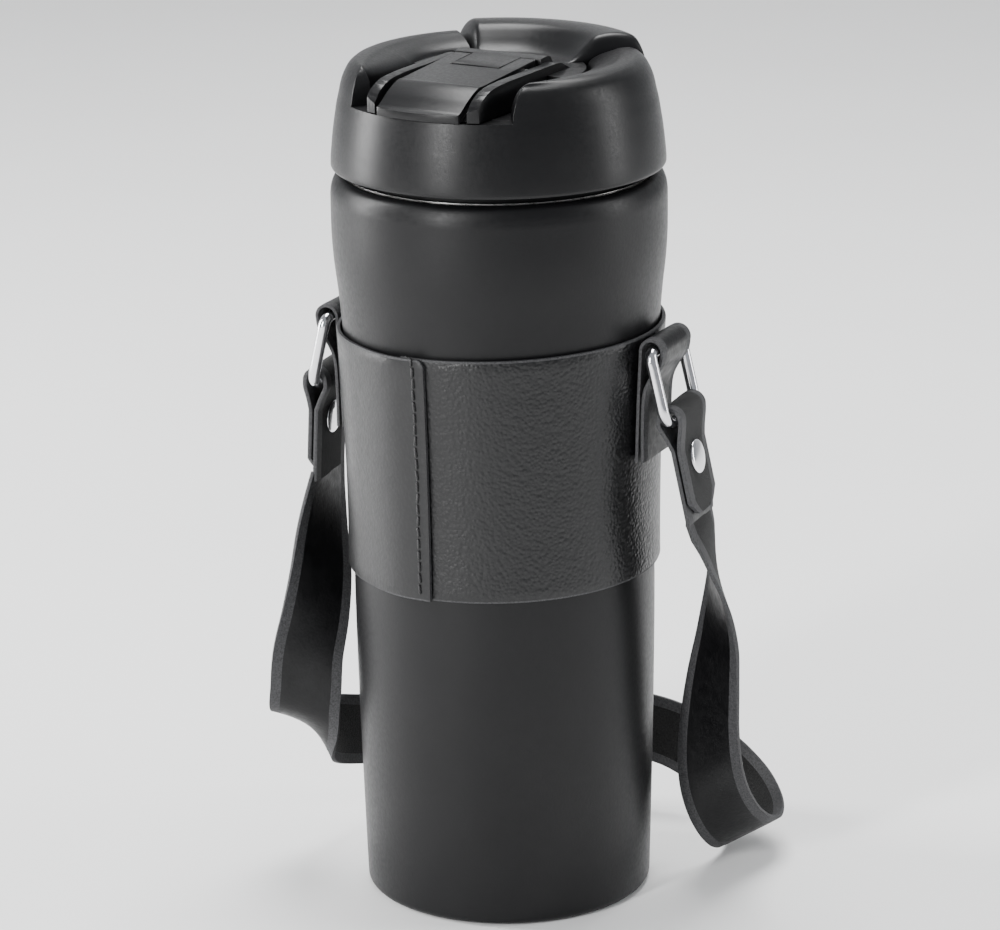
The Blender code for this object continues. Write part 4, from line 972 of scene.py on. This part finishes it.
def tab(name, angle, finishes):
    """The leather loop that holds a ring's bar."""
    bar = bar_place()
    roll = WIRE_RADIUS + TAB_SLACK + TAB_THICK / 2
    lift = GAP + TAB_THICK / 2
    low = BAR_Z - TAB_LENGTH

    def on_sleeve(z):
        return shell_radius(z) + GAP + SLEEVE_THICK

    path = [(on_sleeve(z) + lift, z) for z in span(low, low + 2 * TAB_LENGTH / 3, 8)]
    path += [(bar + roll * math.cos(a), BAR_Z + roll * math.sin(a)) for a in span(math.pi, 0.0, 22)]
    over = lift + TAB_THICK + GAP
    fall = flowing([
        (bar + roll, BAR_Z), (bar + roll - 0.6, BAR_Z - 3.0),
        (on_sleeve(BAR_Z - 7.0) + over + 1.3, BAR_Z - 7.0), (on_sleeve(low + 16.0) + over + 0.1, low + 16.0),
        (on_sleeve(low + 9.0) + over, low + 9.0), (on_sleeve(low) + over + 0.25, low),
    ], 6)[1:]
    places = [(u, z, TAB_HALF) for u, z in path + fall]
    stations = swept(places, (Vector(), *side_frame(angle)), TAB_THICK)
    made = band_mesh("loop_" + name, stations, finishes, "sleeve", ["tab_" + name])


def ring(name, frame_at, finish):
    """A chromed D-ring with a faint ridge along its wire."""
    base, out, side = frame_at
    tilt = math.radians(RING_TILT)
    down = out * math.sin(tilt) - Vector((0, 0, 1)) * math.cos(tilt)
    normal = side.cross(down).normalized()
    origin = base + out * bar_place() + Vector((0, 0, BAR_Z))
    corners = [
        (-RING_HALF, 0.0, BAR_CORNER, (-1, 1), (0, -1)),
        (-RING_HALF, RING_DROP, RING_CORNER, (-1, -1), (-1, 0)),
        (RING_HALF, RING_DROP, RING_CORNER, (1, -1), (0, 1)),
        (RING_HALF, 0.0, BAR_CORNER, (1, 1), (1, 0)),
    ]
    path = []
    for s, d, r, (cs, cd), first in corners:
        middle = Vector((s - cs * r, d + cd * r))
        a = Vector(first) * r
        b = Vector((cs * r, -cd * r)) - a
        path += [middle + a * math.cos(t) + b * math.sin(t) for t in span(0.0, math.pi / 2, 14)]
    dense = []
    for start, end in zip(path, path[1:] + path[:1]):
        steps = max(1, int((end - start).length / 1.2))
        dense += [start.lerp(end, k / steps) for k in range(steps)]
    points, sides = [], 32
    for i, place in enumerate(dense):
        along = (dense[(i + 1) % len(dense)] - dense[i - 1]).normalized()
        across = side * along.y - down * along.x
        centre = origin + side * place.x + down * place.y
        for k in range(sides):
            turn = 2 * math.pi * k / sides
            radius = WIRE_RADIUS * (0.95 + 0.05 * abs(math.sin(turn)) ** 6)
            points.append(centre + radius * (math.cos(turn) * across + math.sin(turn) * normal))
    faces = strip_faces(len(dense), sides, closed_rows=True)
    mesh_object("dee_" + name, points, faces, finish, "ring_" + name, ["d_ring_" + name], 60.0)


def strap_end(name, frame_at, lean, finishes):
    """The strap's end: over the ring's wire and riveted to itself, its tail cut to a blunt point."""
    wire, wire_z = wire_place()
    loop = WIRE_RADIUS + LOOP_SLACK + STRAP_THICK / 2
    fold = STRAP_THICK + GAP
    low = BAND_DROP - 1.0

    def place(drop, shift):
        """Distance out and height at a depth below the wire."""
        return band_out(drop, lean) + shift, wire_z - drop

    path = []
    for drop in span(TAIL_DROP, TAIL_DROP - TAIL_POINT, 6):
        share = (TAIL_DROP - drop) / TAIL_POINT
        path.append((*place(drop, fold), TAIL_HALF + (STRAP_HALF - TAIL_HALF) * share**0.8))
    path += [(*place(drop, fold), STRAP_HALF) for drop in span(17.0, 6.2, 8)]
    beside = [(wire + loop, wire_z - 0.6), (wire + loop, wire_z + LOOP_RISE)]
    shoulder = flowing([place(6.2, fold), place(3.6, fold + 0.6)] + beside, 5)[1:]
    half_turn = span(0.0, math.pi, 20)[1:]
    over = [(wire + loop * math.cos(a), wire_z + LOOP_RISE + loop * math.sin(a)) for a in half_turn]
    beside = [(wire - loop, wire_z + LOOP_RISE), (wire - loop, wire_z - 0.6)]
    inner = flowing(beside + [place(3.6, -0.9), place(6.2, 0.0)], 5)[1:]
    path += [(u, z, STRAP_HALF) for u, z in shoulder + over + inner]
    path += [(*place(drop, 0.0), STRAP_HALF) for drop in span(7.5, low, 12)]
    path += [(band_out(low, lean), wire_z - BAND_DROP - 0.2, STRAP_HALF)]
    stations = swept(path, frame_at, STRAP_THICK)
    slot, nodes = "strap_leather", ["strap_end_" + name]
    made = band_mesh("strap_fold_" + name, stations, finishes, "ring_" + name, nodes, (1, 0))


def rivet(side_name, frame_at, lean, finish):
    """A double-cap rivet through the folded end."""
    base, out, side = frame_at
    tilt = math.radians(lean)
    along = out * math.cos(tilt) + Vector((0, 0, 1)) * math.sin(tilt)
    level = Vector((0, 0, wire_place()[1] - RIVET_DROP))
    main = base + out * band_out(RIVET_DROP, lean) + level
    inner = main - along * STRAP_THICK / 2
    up = side.cross(along)
    face = (STRAP_THICK + GAP) * math.cos(tilt) + STRAP_THICK + 0.05
    dome = [(RIVET_RADIUS * math.sin(a), math.cos(a) ** 0.8) for a in span(0.0, math.pi / 2, 12)]
    cap = [(r, face + 0.35 + 0.75 * rise) for r, rise in dome]
    cap += [(RIVET_RADIUS, face), (RIVET_RADIUS - 0.4, face - 0.02)]
    cap += [(1.2, face - 0.02), (1.2, 0.0), (0.0, 0.0)]
    back = [(0.0, -0.05), (RIVET_RADIUS - 0.3, -0.05), (RIVET_RADIUS, -0.25)]
    back += [(r, -0.45 - 0.65 * rise) for r, rise in reversed(dome)]
    sides = 64
    for name, node, outline in (("rivet_outer_", "rivet_cap_", cap), ("rivet_inner_", "rivet_back_", back)):
        points = []
        for i in range(sides):
            turn = 2 * math.pi * i / sides
            lateral = side * math.cos(turn) + up * math.sin(turn)
            points += [inner + along * u + lateral * r for r, u in outline]
        faces = strip_faces(sides, len(outline), closed_rows=True)
        nodes = [node + side_name]
        mesh_object(name + side_name, points, faces, finish, "ring_" + side_name, nodes)


STRAP_ROUTE = [     # x, y, z of the strap's middle; compass and dip in degrees of its width
    (-44.6, -9.8, 84.0, 261, 0), (-43.2, -13.6, 73.5, 245, 0), (-42.9, -17.0, 64.0, 232, 0),
    (-43.4, -20.0, 55.0, 221, 1), (-44.0, -20.4, 46.6, 213, 5), (-45.5, -18.8, 39.6, 210, 19),
    (-47.1, -13.2, 34.0, 208, 42), (-46.8, -5.2, 30.8, 205, 66), (-45.6, 4.0, 27.8, 200, 81),
    (-44.2, 15.0, 24.8, 190, 86), (-39.6, 29.6, 22.6, 150, 88), (-30.0, 43.0, 21.6, 120, 88),
    (-15.0, 51.5, 21.8, 90, 88), (1.0, 55.0, 21.4, 60, 87), (14.5, 57.5, 19.2, 40, 80),
    (26.5, 57.2, 14.6, 33, 66), (36.6, 52.8, 10.0, 31, 50), (43.4, 45.7, 7.1, 31, 38),
    (46.4, 38.4, 6.2, 30, 29), (46.7, 31.8, 8.2, 27, 23), (45.8, 26.4, 13.4, 21, 16),
    (44.9, 22.2, 21.0, 12, 9), (45.2, 18.8, 30.2, 0, 3), (46.2, 16.8, 41.0, -11, 0),
    (47.8, 15.6, 52.5, -20, 0), (49.4, 14.9, 63.5, -31, 0), (50.5, 13.0, 73.5, -45, 0),
    (50.9, 10.4, 82.0, -60, 0), (50.8, 7.6, 89.3, -72, 0),
]


def strap_stations(steps):
    """Stations along the whole strap, from its left end to its right end."""
    ends = {}
    for name, angle in SIDES:
        base, out, _ = ring_frame(angle)
        place = base + out * band_out(BAND_DROP - 1.0, END_LEAN[name])
        turn = RING_ANGLE + RING_YAW + (-90.0 if name == "right" else 270.0)
        ends[name] = (place.x, place.y, wire_place()[1] - BAND_DROP + 0.1, turn, 0)
    line = flowing([ends["left"]] + STRAP_ROUTE + [ends["right"]], steps)
    stations = []
    for k, value in enumerate(line):
        compass, dip = math.radians(value[3]), math.radians(value[4])
        middle = Vector(value[:3])
        width = Vector((math.cos(dip) * math.cos(compass), math.cos(dip) * math.sin(compass), math.sin(dip)))
        along = (Vector(line[min(k + 1, len(line) - 1)][:3]) - Vector(line[max(k - 1, 0)][:3])).normalized()
        if k in (0, len(line) - 1):
            along = Vector((0, 0, 1 if k else -1))
        width = (width - along * width.dot(along)).normalized()
        face = along.cross(width).normalized()
        stations.append((middle, -face, width, STRAP_THICK, STRAP_HALF))
    return stations


def strap(finishes):
    """The hanging strap, made as two halves that meet at its middle; each half runs from a ring's end and rides
    on no body.
    """
    stations = strap_stations(8)
    middle = len(stations) // 2
    halves = {"left": stations[:middle + 1], "right": stations[middle:]}
    for name, part in halves.items():
        made = band_mesh("strap_" + name, part, finishes, None, ["strap"], (0, 0))
        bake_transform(made)


# ---------------------------------------------------------------- studio

def camera():
    """A camera a metre away, a little above the lid, looking down at the mug."""
    azimuth, pitch, roll = math.radians(30.0), math.radians(16.8), -0.0151
    distance, height = 1.013, 0.409
    film, zoom = 36.0, 4.479        # width in millimetres, and focal length over it
    ahead = Vector((-math.sin(azimuth), math.cos(azimuth), 0.0))
    forward = ahead * math.cos(pitch) - Vector((0.0, 0.0, math.sin(pitch)))
    level = Vector((math.cos(azimuth), math.sin(azimuth), 0.0))
    up = level.cross(forward)
    right = level * math.cos(roll) + up * math.sin(roll)
    top = up * math.cos(roll) - level * math.sin(roll)
    data = bpy.data.cameras.new("camera")
    data.sensor_width = film
    data.lens = zoom * film
    data.shift_x = -0.0032
    data.clip_start, data.clip_end = 0.05, 20.0
    made = bpy.data.objects.new("camera", data)
    place = Matrix((right, top, -forward)).transposed().to_4x4()
    place.translation = (distance * math.sin(azimuth), -distance * math.cos(azimuth), height)
    made.matrix_world = place
    bpy.context.scene.collection.objects.link(made)
    bpy.context.scene.camera = made


def softbox(name, place, target, size, power):
    """A rectangular studio light aimed at a point."""
    data = bpy.data.lights.new(name, "AREA")
    data.shape = "RECTANGLE"
    data.size, data.size_y = size
    data.energy = power
    made = bpy.data.objects.new(name, data)
    made.location = place
    made.rotation_euler = (Vector(target) - Vector(place)).to_track_quat("-Z", "Y").to_euler()
    bpy.context.scene.collection.objects.link(made)


def studio():
    """A pale floor that curves up behind the mug, and soft lights on both sides."""
    start, bend = 1.2, 0.9          # where the floor begins to rise, and its radius
    curve = [(start + bend * math.sin(a), bend - bend * math.cos(a)) for a in span(0.1, math.pi / 2, 12)]
    rows = [(-1.6, 0.0), (start, 0.0)] + curve + [(start + bend, 3.0)]
    turn = Matrix.Rotation(math.radians(30.0), 3, "Z")
    points = [tuple(turn @ Vector((x, y, z))) for y, z in rows for x in (-3.0, 3.0)]
    faces = [[2 * i, 2 * i + 1, 2 * i + 3, 2 * i + 2] for i in range(len(rows) - 1)]
    pale = Finish("pale_floor", (0.86, 0.86, 0.85), 0.8)
    pale.mottled(pale.noise(6.0, 3.0), (0.90, 0.90, 0.895), (0.93, 0.93, 0.925))
    mesh = bpy.data.meshes.new("floor")
    mesh.from_pydata(points, [], faces)
    mesh.materials.append(pale.material)
    mesh.shade_smooth()
    floor = bpy.data.objects.new("floor", mesh)
    floor.location.z = -0.0002
    bpy.context.scene.collection.objects.link(floor)
    world = bpy.data.worlds.new("studio")
    world.use_nodes = True
    world.node_tree.nodes["Background"].inputs["Color"].default_value = (0.92, 0.95, 1.0, 1.0)
    world.node_tree.nodes["Background"].inputs["Strength"].default_value = 0.40
    bpy.context.scene.world = world
    softbox("key_front", (-0.20, -1.25, 0.55), (0.0, 0.0, 0.11), (0.14, 0.9), 17.0)
    softbox("side_left", (-1.15, -0.35, 0.45), (0.0, 0.0, 0.11), (0.22, 1.0), 24.0)
    softbox("side_right", (1.10, 0.55, 0.45), (0.0, 0.0, 0.11), (0.22, 0.9), 7.0)
    softbox("top", (-0.1, 0.30, 1.1), (0.0, 0.0, 0.15), (0.6, 0.6), 17.0)


def carried_over(finishes):
    """Give the CAD nodes that stay their materials."""
    for node, (finish, slot) in finishes.items():
        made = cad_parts[node]
        made.data.materials.clear()
        made.data.materials.append(finish)


def main():
    paint = powder_coat()
    lid_plastic = moulded("satin_black_plastic", (0.0045, 0.0045, 0.0050), (0.0065, 0.0065, 0.0070), 0.35)
    insert_plastic = moulded("insert_black_plastic", (0.0040, 0.0040, 0.0045), (0.0055, 0.0055, 0.0060), 0.32)
    plug_plastic = moulded("plug_black_plastic", (0.0060, 0.0060, 0.0065), (0.0090, 0.0090, 0.0095), 0.45)
    steel = brushed("turned_steel", (0.55, 0.54, 0.53), (0.68, 0.67, 0.66), 0.28, (1.0, 1.0, 14.0))
    pin_steel = brushed("pin_steel", (0.52, 0.52, 0.52), (0.66, 0.66, 0.66), 0.25, (0.2, 6.0, 6.0))
    silicone = rubber()
    leather = sleeve_leather()
    band = [strap_leather(), cut_edge(), suede()]
    chromed = chrome()
    camera()
    bottle(paint, steel)
    lid(lid_plastic, plug_plastic)
    bridge(insert_plastic)
    lever(insert_plastic)
    sleeve(leather, band[1], thread())
    for name, angle in SIDES:
        frame_at = ring_frame(angle)
        tab(name, angle, band)
        ring(name, frame_at, chromed)
        strap_end(name, frame_at, END_LEAN[name], band)
        rivet(name, frame_at, END_LEAN[name], chromed)
    strap(band)
    carried_over({
        "base_plate": (paint, "base_coating"), "getter": (getter_metal(), "getter_metal"),
        "lid_gasket": (silicone, "silicone"), "drink_tube": (plug_plastic, "plug_plastic"),
        "lever_pin": (pin_steel, "steel"), "spout_stopper": (silicone, "silicone"),
        "vent_stopper": (silicone, "silicone"),
    })
    studio()


main()
